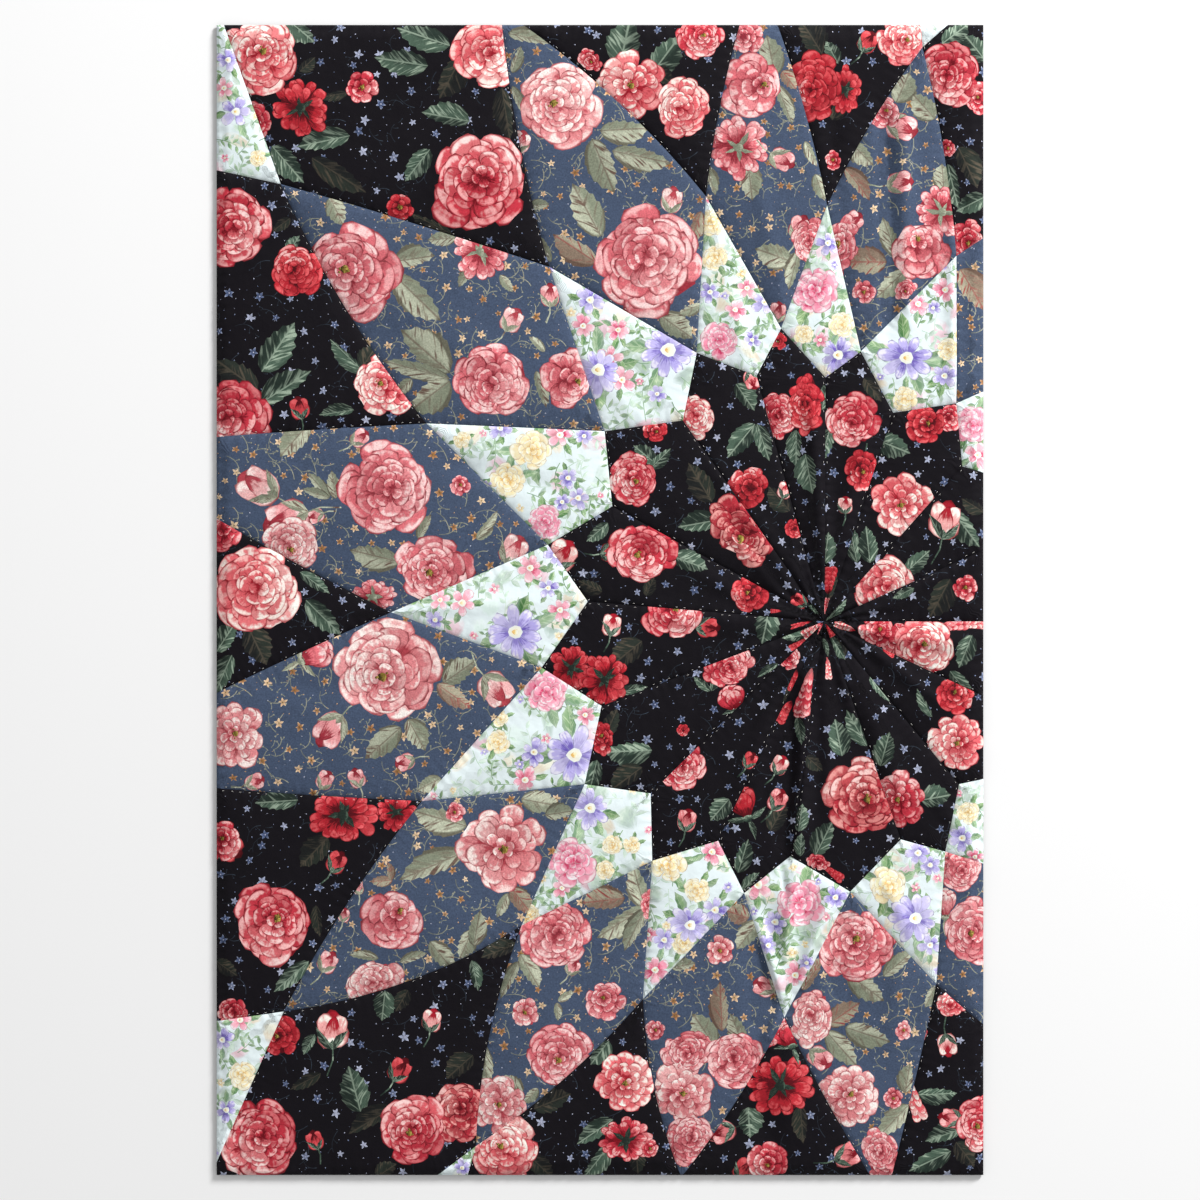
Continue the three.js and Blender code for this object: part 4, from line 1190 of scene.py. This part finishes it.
# How near a mesh point may come to an outline, as shares of its row's distance and of the lattice's step
ROW_CLEARANCE = 0.8
LATTICE_CLEARANCE = 0.3

# The triangulation keeps what lies inside the outlines, and joins points nearer than its tolerance
INSIDE_OUTLINES = 1
JOIN_TOLERANCE = 1e-4


def lattice_points(patch):
    """Points inside a patch that let it bend: rows along its edge and an even lattice."""
    outline = patch.outline
    following = np.roll(outline, -1, axis=0)
    run = following - outline
    inward = np.column_stack((-run[:, 1], run[:, 0])) / np.linalg.norm(run, axis=1)[:, None]
    points = []
    for row in TUCK_ROWS:
        spots = (outline + following) / 2 + inward * row
        distance = nearest_seam(outline, spots)[0]
        points.extend(spots[inside(outline, spots) & (distance > row * ROW_CLEARANCE)])
    low, high = outline.min(0), outline.max(0)
    for step, is_near_heart in ((LATTICE_STEP, False), (HEART_STEP, True)):
        lattice = even_lattice(low, high, step)
        distance = nearest_seam(outline, lattice)[0]
        from_heart = np.hypot(*(lattice - HEART).T)
        wanted = (from_heart < HEART_REACH) == is_near_heart
        clear = distance > TUCK_ROWS[-1] + step * LATTICE_CLEARANCE
        points.extend(lattice[inside(outline, lattice) & wanted & clear])
    creased = crease_points()
    distance = nearest_seam(outline, creased)[0]
    points.extend(creased[inside(outline, creased) & (distance > TUCK_ROWS[-1])])
    return points


def crease_points():
    """Rows of points along each steep fold, which the lattice is too wide for."""
    points = []
    for start, end, width, height in FOLDS + CREASES:
        if abs(height) < STEEPEST_LEFT_TO_LATTICE * width:
            continue
        run = np.array(end, float) - start
        length = float(np.linalg.norm(run))
        side = left_of(run) / length * width
        for share in np.linspace(0, 1, int(length / CREASE_STEP) + 2):
            points.extend(start + run * share + side * row for row in CREASE_ROWS)
    return np.array(points)


def even_lattice(low, high, step):
    """Points of a triangular lattice over a rectangle."""
    height = step * math.sqrt(3) / 2
    columns = np.arange(low[0], high[0] + step, step)
    return np.array([(x + step / 2 * (row % 2), y)
                     for row, y in enumerate(np.arange(low[1], high[1] + height, height)) for x in columns])


def triangulated(patch):
    """Vertices, triangles and the uppermost printed shape of each triangle (0 is bare cloth)."""
    points = [Vector(p) for p in patch.outline]
    faces = [list(range(len(points)))]
    low, high = patch.outline.min(0), patch.outline.max(0)
    kept = []
    for ink in patch.inks:
        outline = np.array(ink.outline)
        if (outline.max(0) < low).any() or (outline.min(0) > high).any():
            continue
        if not inside(patch.outline, outline).any():
            continue
        start = len(points)
        points.extend(Vector(p) for p in outline)
        faces.append(list(range(start, len(points))))
        kept.append(ink)
    points.extend(Vector(p) for p in lattice_points(patch))
    made = delaunay_2d_cdt(points, [], faces, INSIDE_OUTLINES, JOIN_TOLERANCE, True)
    vertices, _, made_faces, _, _, face_sources = made
    flat = np.array([tuple(vertex) for vertex in vertices])
    triangles, uppermost = [], []
    for face, sources in zip(made_faces, face_sources):
        if 0 in sources and len(face) == 3:
            triangles.append(face)
            uppermost.append(max(sources))
    triangles, uppermost = np.array(triangles), np.array(uppermost)
    a, b, c = (flat[triangles[:, k]] for k in range(3))
    doubled_area = (b[:, 0] - a[:, 0]) * (c[:, 1] - a[:, 1]) - (b[:, 1] - a[:, 1]) * (c[:, 0] - a[:, 0])
    triangles[doubled_area < 0] = triangles[doubled_area < 0][:, ::-1]
    whole = np.abs(doubled_area) > SMALLEST_TRIANGLE
    triangles, uppermost = triangles[whole], uppermost[whole]
    used, fresh = np.unique(triangles, return_inverse=True)
    return flat[used], fresh.reshape(triangles.shape), uppermost, kept


def surface_at(outline, flat):
    """Heights and unit normals of the cloth at points of a patch, and their places along its seam."""
    distance, inward, place = nearest_seam(outline, flat)
    x, y = flat.T
    step = SLOPE_STEP
    z = cloth_height(x, y, distance)
    slope_x = (cloth_height(x + step, y, distance) - cloth_height(x - step, y, distance)) / (2 * step)
    slope_y = (cloth_height(x, y + step, distance) - cloth_height(x, y - step, distance)) / (2 * step)
    slope_in = (puff(distance + step) - puff(distance)) / step
    slope_in = np.where(from_rim(x, y) < EDGE_WIDTH, 0, slope_in)
    normal = np.column_stack((-slope_x - slope_in * inward[:, 0], -slope_y - slope_in * inward[:, 1],
                              np.ones(len(x))))
    return z, normal / np.linalg.norm(normal, axis=1)[:, None], distance, place


def corner_attribute(mesh, name, kind, values, field):
    attribute = mesh.attributes.new(name, kind, "CORNER")
    attribute.data.foreach_set(field, np.ascontiguousarray(values, np.float32).ravel())


def with_alpha(colours):
    return np.column_stack((colours, np.ones(len(colours))))


def patch_object(patch, material):
    """The patch as a mesh whose face corners carry their printed shape's inks and own frame."""
    flat, triangles, uppermost, inks = triangulated(patch)
    z, normal, distance, place = surface_at(patch.outline, flat)
    mesh = bpy.data.meshes.new(patch.name)
    corners = np.column_stack((flat, z)) * METRE
    mesh.from_pydata(corners.tolist(), [], triangles.tolist())
    mesh.polygons.foreach_set("use_smooth", np.ones(len(triangles), bool))
    ground = GROUNDS[patch.cloth]
    tones = np.array([(ground,) * 3] + [ink.tones for ink in inks])
    drawn = np.array([(0, 0, 0)] + [ink.drawn for ink in inks])
    centre = np.array([(0, 0)] + [ink.centre for ink in inks])
    inverse = np.array([np.zeros((2, 2))] + [ink.inverse for ink in inks])
    seed = np.array([0.5] + [ink.seed for ink in inks])
    shape = np.repeat(uppermost, 3)
    own = np.einsum("nij,nj->ni", inverse[shape], flat[triangles.ravel()] - centre[shape])
    for level, name in enumerate(("ink_dark", "ink_middle", "ink_light")):
        corner_attribute(mesh, name, "FLOAT_COLOR", with_alpha(tones[shape, level]), "color")
    corner_attribute(mesh, "ink_drawn", "FLOAT_VECTOR", drawn[shape], "vector")
    corner_attribute(mesh, "ink_place", "FLOAT_VECTOR", np.column_stack((own, seed[shape])), "vector")
    seam = np.column_stack((distance, place, np.zeros(len(flat))))
    corner_attribute(mesh, "seam_place", "FLOAT_VECTOR", seam[triangles.ravel()], "vector")
    low, high = flat.min(0), flat.max(0)
    layer = mesh.uv_layers.new(name="OFBake")
    spread = (flat - low) / (high - low).max()
    layer.data.foreach_set("uv", spread[triangles.ravel()].astype(np.float32).ravel())
    mesh.materials.append(material)
    mesh.validate()
    mesh.normals_split_custom_set_from_vertices(normal.tolist())
    return linked(patch.name, mesh)


def linked(name, data):
    """A new object in the scene."""
    made = bpy.data.objects.new(name, data)
    bpy.context.scene.collection.objects.link(made)
    return made


def smooth_piece(name, points, faces, material):
    """An object with a smooth mesh of points in millimetres."""
    mesh = bpy.data.meshes.new(name)
    mesh.from_pydata((np.array(points) * METRE).tolist(), [], faces)
    mesh.polygons.foreach_set("use_smooth", np.ones(len(faces), bool))
    mesh.materials.append(material)
    return linked(name, mesh)


# Backing and thread

# The backing's mesh step, its share of the height under a seam, its greatest height, and the rings of
# its soft edge: height and how far it is drawn in
BACKING_STEP = 10
BACKING_SHARE = 0.5
BACKING_TOP = 1.7
BACKING_EDGE = ((1.1, 0.0), (0.5, 0.1), (0.12, 0.45), (0.0, 1.0))


def quilt_body(material):
    """Wadding and backing under the patches: a closed sheet with a soft edge and a flat underside."""
    xs = np.linspace(-CUT_WIDTH / 2, CUT_WIDTH / 2, CUT_WIDTH // BACKING_STEP + 1)
    ys = np.linspace(-CUT_LENGTH / 2, CUT_LENGTH / 2, CUT_LENGTH // BACKING_STEP + 1)
    grid_x, grid_y = np.meshgrid(xs, ys, indexing="ij")
    top = np.minimum(BACKING_SHARE * seam_height(grid_x, grid_y), BACKING_TOP)
    count_x, count_y = len(xs), len(ys)
    rim = [(i, 0) for i in range(count_x)]
    rim += [(count_x - 1, j) for j in range(1, count_y)]
    rim += [(i, count_y - 1) for i in range(count_x - 2, -1, -1)]
    rim += [(0, j) for j in range(count_y - 2, 0, -1)]
    points = [(x, y, z) for x, y, z in zip(grid_x.ravel(), grid_y.ravel(), top.ravel())]
    faces = [(i * count_y + j, (i + 1) * count_y + j, (i + 1) * count_y + j + 1, i * count_y + j + 1)
             for i in range(count_x - 1) for j in range(count_y - 1)]
    above = [i * count_y + j for i, j in rim]
    for z, inset in BACKING_EDGE:
        below = []
        for i, j in rim:
            x, y = xs[i], ys[j]
            below.append(len(points))
            points.append((x - np.sign(x) * inset * (abs(x) == CUT_WIDTH / 2),
                           y - np.sign(y) * inset * (abs(y) == CUT_LENGTH / 2), z))
        faces += [(above[k], below[k], below[(k + 1) % len(rim)], above[(k + 1) % len(rim)])
                  for k in range(len(rim))]
        above = below
    faces.append(tuple(reversed(above)))
    return smooth_piece("quilt_body", points, faces, material)


# One stitch: for each ring along it, place along, radius and height over the cloth, in mm
STITCH_RINGS = ((-0.7, 0.02, -0.1), (-0.5, 0.1, 0.02), (0.0, 0.12, 0.08), (0.5, 0.1, 0.02), (0.7, 0.02, -0.1))
STITCH_SIDES = 5
STITCH_PITCH = 5.6
STITCH_PITCH_SPREAD = (0.86, 1.14)
STITCH_SIZES = (0.8, 1.15)
STITCH_BURIED = 0.4
STITCH_CLEAR_OF_HEART = 45
STITCH_INSET = 1.2
STITCH_WANDER = 0.15
STITCH_LEAN = 0.12
STITCH_ALONG = math.cos(0.1)
STITCH_LEAST_INSET = 0.7
STITCH_SEED = 77


def stitch_shape():
    """Points, sides and ends of one stitch."""
    ring = [(math.cos(2 * math.pi * k / STITCH_SIDES), math.sin(2 * math.pi * k / STITCH_SIDES))
            for k in range(STITCH_SIDES)]
    points = np.array([(along, radius * c, radius * s + lift)
                       for along, radius, lift in STITCH_RINGS for c, s in ring])
    faces = [(r * STITCH_SIDES + k, (r + 1) * STITCH_SIDES + k,
              (r + 1) * STITCH_SIDES + (k + 1) % STITCH_SIDES, r * STITCH_SIDES + (k + 1) % STITCH_SIDES)
             for r in range(len(STITCH_RINGS) - 1) for k in range(STITCH_SIDES)]
    last = (len(STITCH_RINGS) - 1) * STITCH_SIDES
    return points, faces, [tuple(range(STITCH_SIDES)), tuple(range(last + STITCH_SIDES - 1, last - 1, -1))]


def quilting_stitches(patches, material):
    """Hand-sewn running stitches just inside the seams of every patch."""
    shape, sides, ends = stitch_shape()
    dice = random.Random(STITCH_SEED)
    points, faces = [], []
    for patch in patches:
        outline = patch.outline
        following = np.roll(outline, -1, axis=0)
        lengths = np.linalg.norm(following - outline, axis=1)
        reach = 0.0
        for here, there, length in zip(outline, following, lengths):
            way = (there - here) / length
            while reach < length:
                wander = dice.uniform(-STITCH_WANDER, STITCH_WANDER)
                spot = here + way * reach + left_of(way) * (STITCH_INSET + wander)
                reach += STITCH_PITCH * dice.uniform(*STITCH_PITCH_SPREAD)
                from_heart = math.hypot(spot[0] - HEART[0], spot[1] - HEART[1])
                if dice.random() < STITCH_BURIED or from_heart < STITCH_CLEAR_OF_HEART:
                    continue
                distance = nearest_seam(outline, spot[None])[0][0]
                is_near_seam = distance < STITCH_INSET * STITCH_LEAST_INSET
                if is_near_seam or from_rim(*spot) < EDGE_WIDTH or not patch.holds(spot):
                    continue
                size = dice.uniform(*STITCH_SIZES)
                z = float(cloth_height(spot[0], spot[1], distance))
                start = len(points)
                heading = way * STITCH_ALONG + left_of(way) * dice.uniform(-STITCH_LEAN, STITCH_LEAN)
                for along, across, up in shape:
                    flat = spot + heading * along * size + left_of(heading) * across
                    points.append((flat[0], flat[1], z + up))
                faces += [tuple(start + k for k in face) for face in sides + ends]
            reach -= length
    return smooth_piece("quilting_stitches", points, faces, material)


# Materials

class Nodes:
    """Short calls for building one material's nodes."""

    def __init__(self, name):
        self.material = bpy.data.materials.new(name)
        self.material.use_nodes = True
        self.tree = self.material.node_tree
        self.shader = self.tree.nodes["Principled BSDF"]

    def new(self, kind, **settings):
        node = self.tree.nodes.new(kind)
        for key, value in settings.items():
            setattr(node, key, value)
        return node

    def feed(self, socket, value):
        if isinstance(value, bpy.types.NodeSocket):
            self.tree.links.new(value, socket)
        else:
            socket.default_value = value

    def math(self, operation, *values, clamp=False):
        node = self.new("ShaderNodeMath", operation=operation, use_clamp=clamp)
        for socket, value in zip(node.inputs, values):
            self.feed(socket, value)
        return node.outputs[0]

    def length(self, x, y):
        squares = self.math("ADD", self.math("MULTIPLY", x, x), self.math("MULTIPLY", y, y))
        return self.math("SQRT", squares)

    def ease(self, value, low, high):
        node = self.new("ShaderNodeMapRange", interpolation_type="SMOOTHSTEP")
        self.feed(node.inputs["Value"], value)
        node.inputs["From Min"].default_value = low
        node.inputs["From Max"].default_value = high
        return node.outputs["Result"]

    def mixed(self, share, first, second, blend="MIX"):
        node = self.new("ShaderNodeMix", data_type="RGBA", blend_type=blend)
        sockets = [s for s in node.inputs if s.type == "RGBA"]
        self.feed(node.inputs[0], share)
        self.feed(sockets[0], first)
        self.feed(sockets[1], second)
        return next(s for s in node.outputs if s.type == "RGBA")

    def attribute(self, name, output="Vector"):
        return self.new("ShaderNodeAttribute", attribute_name=name).outputs[output]

    def split(self, vector):
        node = self.new("ShaderNodeSeparateXYZ")
        self.feed(node.inputs[0], vector)
        return node.outputs

    def joined(self, x, y, z):
        node = self.new("ShaderNodeCombineXYZ")
        for socket, value in zip(node.inputs, (x, y, z)):
            self.feed(socket, value)
        return node.outputs[0]

    def noise(self, vector, scale, detail=2.0):
        node = self.new("ShaderNodeTexNoise")
        self.feed(node.inputs["Vector"], vector)
        node.inputs["Scale"].default_value = scale
        node.inputs["Detail"].default_value = detail
        return node.outputs["Fac"]

    def grey(self, value):
        return self.joined(value, value, value)


# Plain weave: metres between its threads
THREAD_PITCH = 0.00036


def weave_height(nodes, place):
    """Threads over and under each other, from -1 to 1."""
    x, y, _ = nodes.split(place)
    pitch = 2 * math.pi / THREAD_PITCH
    warp = nodes.math("SINE", nodes.math("MULTIPLY", x, pitch))
    weft = nodes.math("SINE", nodes.math("MULTIPLY", y, pitch))
    return nodes.math("MULTIPLY", warp, weft)


# The print's brush strokes, in a shape's own frame, whose length and breadth run from -1 to 1: arcs and
# rays round a point behind its middle, each with a noise scale outwards and one round that point
BRUSH_PIVOT = 1.3
ARC_STROKES = (2.6, 1.2)
RAY_STROKES = (0.9, 5.4)
SEED_SPREAD = 40.0

# How raggedly the strokes move the bounds between tones, and those bounds: where the dark base gives way
# to the middle tone, where the light rim starts, and where the rim ends at the petal's edge
BASE_RAGGEDNESS = 2.6
BASE_BOUNDS = (-0.5, 0.12)
RIM_RAGGEDNESS = 3.0
RIM_BOUNDS = (0.28, 0.82)
RIM_END = (0.82, 0.96)

# A leaf's ribs, as a slanted noise, its midrib, and the bound between its two halves
RIB_SLANT = (6.5, 4.5)
RIB_BREADTH = 1.4
RIB_BOUNDS = (0.48, 0.68)
RIB_STRENGTH = (0.4, 0.55)
MIDRIB_BOUNDS = (0.02, 0.08)
MIDRIB_STRENGTH = 0.6
HALF_RAGGEDNESS = 1.6
HALF_BOUNDS = (-0.35, 0.35)

# A shape's drawn edge and its tint, and where a soft shape fades out
EDGE_BOUNDS = (0.86, 1.0)
EDGE_TINT = (0.5, 0.42, 0.42, 1)
FADE_RAGGEDNESS = 0.9
FADE_BOUNDS = (0.5, 1.15)


def brush_strokes(nodes, along, across, cell):
    """Noise that fans out from behind the base of a shape, about -0.5 to 0.5."""
    behind = nodes.math("ADD", along, BRUSH_PIVOT)
    arc = nodes.length(behind, across)
    turn = nodes.math("DIVIDE", across, behind)

    def strokes(scale_out, scale_round):
        out, around = nodes.math("MULTIPLY", arc, scale_out), nodes.math("MULTIPLY", turn, scale_round)
        return nodes.noise(nodes.joined(out, around, cell), 1.0)

    half_rays = nodes.math("MULTIPLY", strokes(*RAY_STROKES), 0.5)
    return nodes.math("SUBTRACT", nodes.math("MULTIPLY_ADD", strokes(*ARC_STROKES), 0.5, half_rays), 0.5)


def petal_colour(nodes, along, reach, streak, inks):
    """Dark at its base, then the middle tone, with a light rim short of its edge."""
    dark, middle, light = inks
    shade = nodes.math("MULTIPLY_ADD", streak, BASE_RAGGEDNESS, along)
    fill = nodes.mixed(nodes.ease(shade, *BASE_BOUNDS), dark, middle)
    glow = nodes.math("MULTIPLY_ADD", streak, RIM_RAGGEDNESS, along)
    within = nodes.math("SUBTRACT", 1.0, nodes.ease(reach, *RIM_END))
    return nodes.mixed(nodes.math("MULTIPLY", nodes.ease(glow, *RIM_BOUNDS), within), fill, light)


def leaf_colour(nodes, along, across, streak, cell, inks):
    """A shaded and a lit half with light ribs and a light midrib."""
    dark, middle, light = inks
    aside = nodes.math("ABSOLUTE", across)
    slant_along, slant_aside = RIB_SLANT
    slant = nodes.math("SUBTRACT", nodes.math("MULTIPLY", along, slant_along),
                       nodes.math("MULTIPLY", aside, slant_aside))
    spot = nodes.joined(slant, nodes.math("MULTIPLY", across, RIB_BREADTH), cell)
    ribs = nodes.ease(nodes.noise(spot, 1.0, 1.0), *RIB_BOUNDS)
    midrib = nodes.math("SUBTRACT", 1.0, nodes.ease(aside, *MIDRIB_BOUNDS))
    half = nodes.ease(nodes.math("MULTIPLY_ADD", streak, HALF_RAGGEDNESS, across), *HALF_BOUNDS)
    least, added = RIB_STRENGTH
    strength = nodes.math("MULTIPLY_ADD", half, added, least)
    drawn = nodes.math("MAXIMUM", nodes.math("MULTIPLY", ribs, strength),
                       nodes.math("MULTIPLY", midrib, MIDRIB_STRENGTH), clamp=True)
    return nodes.mixed(drawn, nodes.mixed(half, dark, middle), light)


def printed_colour(nodes, ground):
    """The print's colour from the attributes of its faces."""
    inks = [nodes.attribute(name, "Color") for name in ("ink_dark", "ink_middle", "ink_light")]
    line, vein, soft = nodes.split(nodes.attribute("ink_drawn"))
    along, across, seed = nodes.split(nodes.attribute("ink_place"))
    flare = nodes.math("MULTIPLY_ADD", along, PETAL_FLARE, 1.0)
    across = nodes.math("DIVIDE", across, flare)
    reach = nodes.length(along, across)
    cell = nodes.math("MULTIPLY", seed, SEED_SPREAD)
    streak = brush_strokes(nodes, along, across, cell)
    fill = petal_colour(nodes, along, reach, streak, inks)
    fill = nodes.mixed(vein, fill, leaf_colour(nodes, along, across, streak, cell, inks))
    edge = nodes.math("MULTIPLY", nodes.ease(reach, *EDGE_BOUNDS), line)
    fill = nodes.mixed(edge, fill, nodes.mixed(1.0, inks[0], EDGE_TINT, "MULTIPLY"))
    ragged = nodes.math("MULTIPLY_ADD", streak, FADE_RAGGEDNESS, reach)
    fade = nodes.math("MULTIPLY", nodes.ease(ragged, *FADE_BOUNDS), soft)
    return nodes.mixed(fade, fill, (*ground, 1))


# Cotton: scales of the noises in it, each with its detail, the spread of its roughness, and heights of
# the puckers along its seams, its threads and its small creases, in metres
CLOUD_NOISE = (38, 3)
FINE_NOISE = (1000, 3)
WEAR_NOISE = (120, 2)
CREASE_NOISE = (85, 4)
DRIFT_NOISE = (60, 1)
ROUGHNESS_SPREAD = 0.16
SHEEN_ROUGHNESS = 0.45
SPECULAR_LEVEL = 0.16
PUCKER_TURN = 0.92
PUCKER_DRIFT = 7.0
PUCKER_FADE = -0.17
PUCKER_HEIGHT = 0.00022
WEAVE_HEIGHT = 0.00002
CREASE_HEIGHT = 0.0009
BUMP_STRENGTH = 0.8


def add_bump(nodes, height):
    bump = nodes.new("ShaderNodeBump")
    bump.inputs["Distance"].default_value = 1.0
    bump.inputs["Strength"].default_value = BUMP_STRENGTH
    nodes.feed(bump.inputs["Height"], height)
    nodes.feed(nodes.shader.inputs["Normal"], bump.outputs[0])


def pucker_height(nodes, place):
    """Small waves along a seam that die away from it."""
    distance, along_seam, _ = nodes.split(nodes.attribute("seam_place"))
    drift = nodes.math("MULTIPLY", nodes.noise(place, *DRIFT_NOISE), PUCKER_DRIFT)
    wave = nodes.math("SINE", nodes.math("ADD", nodes.math("MULTIPLY", along_seam, PUCKER_TURN), drift))
    near = nodes.math("EXPONENT", nodes.math("MULTIPLY", distance, PUCKER_FADE))
    return nodes.math("MULTIPLY", nodes.math("MULTIPLY", wave, near), PUCKER_HEIGHT)


def cotton_material(name, cloth, mottle, speck, roughness, sheen):
    """Printed plain-weave cotton: inks, mottling, thread texture, puckers along the seams and sheen."""
    nodes = Nodes(name)
    place = nodes.new("ShaderNodeTexCoord").outputs["Object"]
    cloud = nodes.math("MULTIPLY_ADD", nodes.noise(place, *CLOUD_NOISE), mottle, 1 - mottle / 2)
    fine = nodes.math("MULTIPLY_ADD", nodes.noise(place, *FINE_NOISE), speck, -speck / 2)
    amount = nodes.grey(nodes.math("ADD", cloud, fine))
    colour = nodes.mixed(1.0, printed_colour(nodes, GROUNDS[cloth]), amount, "MULTIPLY")
    nodes.feed(nodes.shader.inputs["Base Color"], colour)
    wear = nodes.math("MULTIPLY_ADD", nodes.noise(place, *WEAR_NOISE), ROUGHNESS_SPREAD,
                      roughness - ROUGHNESS_SPREAD / 2)
    nodes.feed(nodes.shader.inputs["Roughness"], wear)
    nodes.shader.inputs["Sheen Weight"].default_value = sheen
    nodes.shader.inputs["Sheen Roughness"].default_value = SHEEN_ROUGHNESS
    nodes.shader.inputs["Specular IOR Level"].default_value = SPECULAR_LEVEL
    threads = nodes.math("MULTIPLY", weave_height(nodes, place), WEAVE_HEIGHT)
    creases = nodes.math("MULTIPLY", nodes.noise(place, *CREASE_NOISE), CREASE_HEIGHT)
    add_bump(nodes, nodes.math("ADD", pucker_height(nodes, place), nodes.math("ADD", threads, creases)))
    return nodes.material


# Mottle, speck, roughness and sheen of each printed cloth
COTTONS = {
    "black": (0.3, 0.7, 0.82, 0.02),
    "blue": (0.16, 1.1, 0.84, 0.05),
    "white": (0.05, 0.06, 0.86, 0.1),
}

# Plain cotton: its noises, how cloudy it is, its roughness and sheen, and the height of its threads
PLAIN_FINE_NOISE = (1200, 2)
PLAIN_CLOUD_NOISE = (45, 2)
PLAIN_CLOUDINESS = 0.14
PLAIN_ROUGHNESS = 0.88
PLAIN_SHEEN = 0.05
PLAIN_WEAVE_HEIGHT = 0.00003
THREAD_COLOUR, THREAD_SPECK = tone(236, 232, 226), 0.2
BACKING_COLOUR, BACKING_SPECK = tone(30, 26, 32), 0.4


def plain_cotton(name, colour, speck):
    """Unprinted cotton for the thread and the backing."""
    nodes = Nodes(name)
    place = nodes.new("ShaderNodeTexCoord").outputs["Object"]
    fine = nodes.math("MULTIPLY_ADD", nodes.noise(place, *PLAIN_FINE_NOISE), speck, 1 - speck / 2)
    cloud = nodes.math("MULTIPLY_ADD", nodes.noise(place, *PLAIN_CLOUD_NOISE), PLAIN_CLOUDINESS,
                       -PLAIN_CLOUDINESS / 2)
    amount = nodes.grey(nodes.math("ADD", fine, cloud))
    nodes.feed(nodes.shader.inputs["Base Color"], nodes.mixed(1.0, (*colour, 1), amount, "MULTIPLY"))
    nodes.shader.inputs["Roughness"].default_value = PLAIN_ROUGHNESS
    nodes.shader.inputs["Sheen Weight"].default_value = PLAIN_SHEEN
    add_bump(nodes, nodes.math("MULTIPLY", weave_height(nodes, place), PLAIN_WEAVE_HEIGHT))
    return nodes.material


# Stage, in metres: the camera's lens is in millimetres
CAMERA_LENS = 85
CAMERA_SENSOR = 36
CLOTH_TOP = 0.005
KEY_PLACE = (2.2, 2.6, 1.7)
KEY_SIZE = 1.0
KEY_ENERGY = 190
WORLD_STRENGTH = 0.5
FLOOR_REACH = 4.0
FLOOR_HEIGHT = -0.0004
FLOOR_COLOUR = (0.9, 0.9, 0.9, 1)
FLOOR_ROUGHNESS = 0.9


def add_camera():
    """Straight above the cloth, so that the whole photographed frame is seen."""
    data = bpy.data.cameras.new("camera")
    data.lens = CAMERA_LENS
    data.sensor_width = CAMERA_SENSOR
    camera = linked("camera", data)
    frame_width = PHOTO_SIZE_PX * MM_PER_PX * METRE
    camera.location = (0, 0, CAMERA_LENS / CAMERA_SENSOR * frame_width + CLOTH_TOP)
    bpy.context.scene.camera = camera


def add_light(name, place, size, energy):
    """A soft round light that faces the origin."""
    data = bpy.data.lights.new(name, "AREA")
    data.shape = "DISK"
    data.size = size
    data.energy = energy
    light = linked(name, data)
    light.location = place
    light.rotation_mode = "QUATERNION"
    light.rotation_quaternion = (-Vector(place)).to_track_quat("-Z", "Y")


def add_stage():
    """A pale floor, an even white sky and one key light."""
    mesh = bpy.data.meshes.new("floor")
    corners = [(x * FLOOR_REACH, y * FLOOR_REACH, FLOOR_HEIGHT)
               for x, y in ((-1, -1), (1, -1), (1, 1), (-1, 1))]
    mesh.from_pydata(corners, [], [(0, 1, 2, 3)])
    nodes = Nodes("pale_floor")
    nodes.shader.inputs["Base Color"].default_value = FLOOR_COLOUR
    nodes.shader.inputs["Roughness"].default_value = FLOOR_ROUGHNESS
    mesh.materials.append(nodes.material)
    linked("floor", mesh)
    world = bpy.data.worlds.new("studio")
    world.use_nodes = True
    sky = world.node_tree.nodes["Background"]
    sky.inputs["Color"].default_value = (1, 1, 1, 1)
    sky.inputs["Strength"].default_value = WORLD_STRENGTH
    bpy.context.scene.world = world
    add_light("key", KEY_PLACE, KEY_SIZE, KEY_ENERGY)
    bpy.context.scene.view_settings.view_transform = "Standard"


add_camera()
add_stage()
patches = make_patches()
lay_out_print(patches)
materials = {cloth: cotton_material(f"{cloth}_cotton", cloth, *look) for cloth, look in COTTONS.items()}
pieces = [patch_object(patch, materials[patch.cloth]) for patch in patches]
pieces.append(quilting_stitches(patches, plain_cotton("quilting_thread", THREAD_COLOUR, THREAD_SPECK)))
body = quilt_body(plain_cotton("backing_cotton", BACKING_COLOUR, BACKING_SPECK))
for piece in [*pieces, body]:
    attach(piece, "root")
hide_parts("quilt")
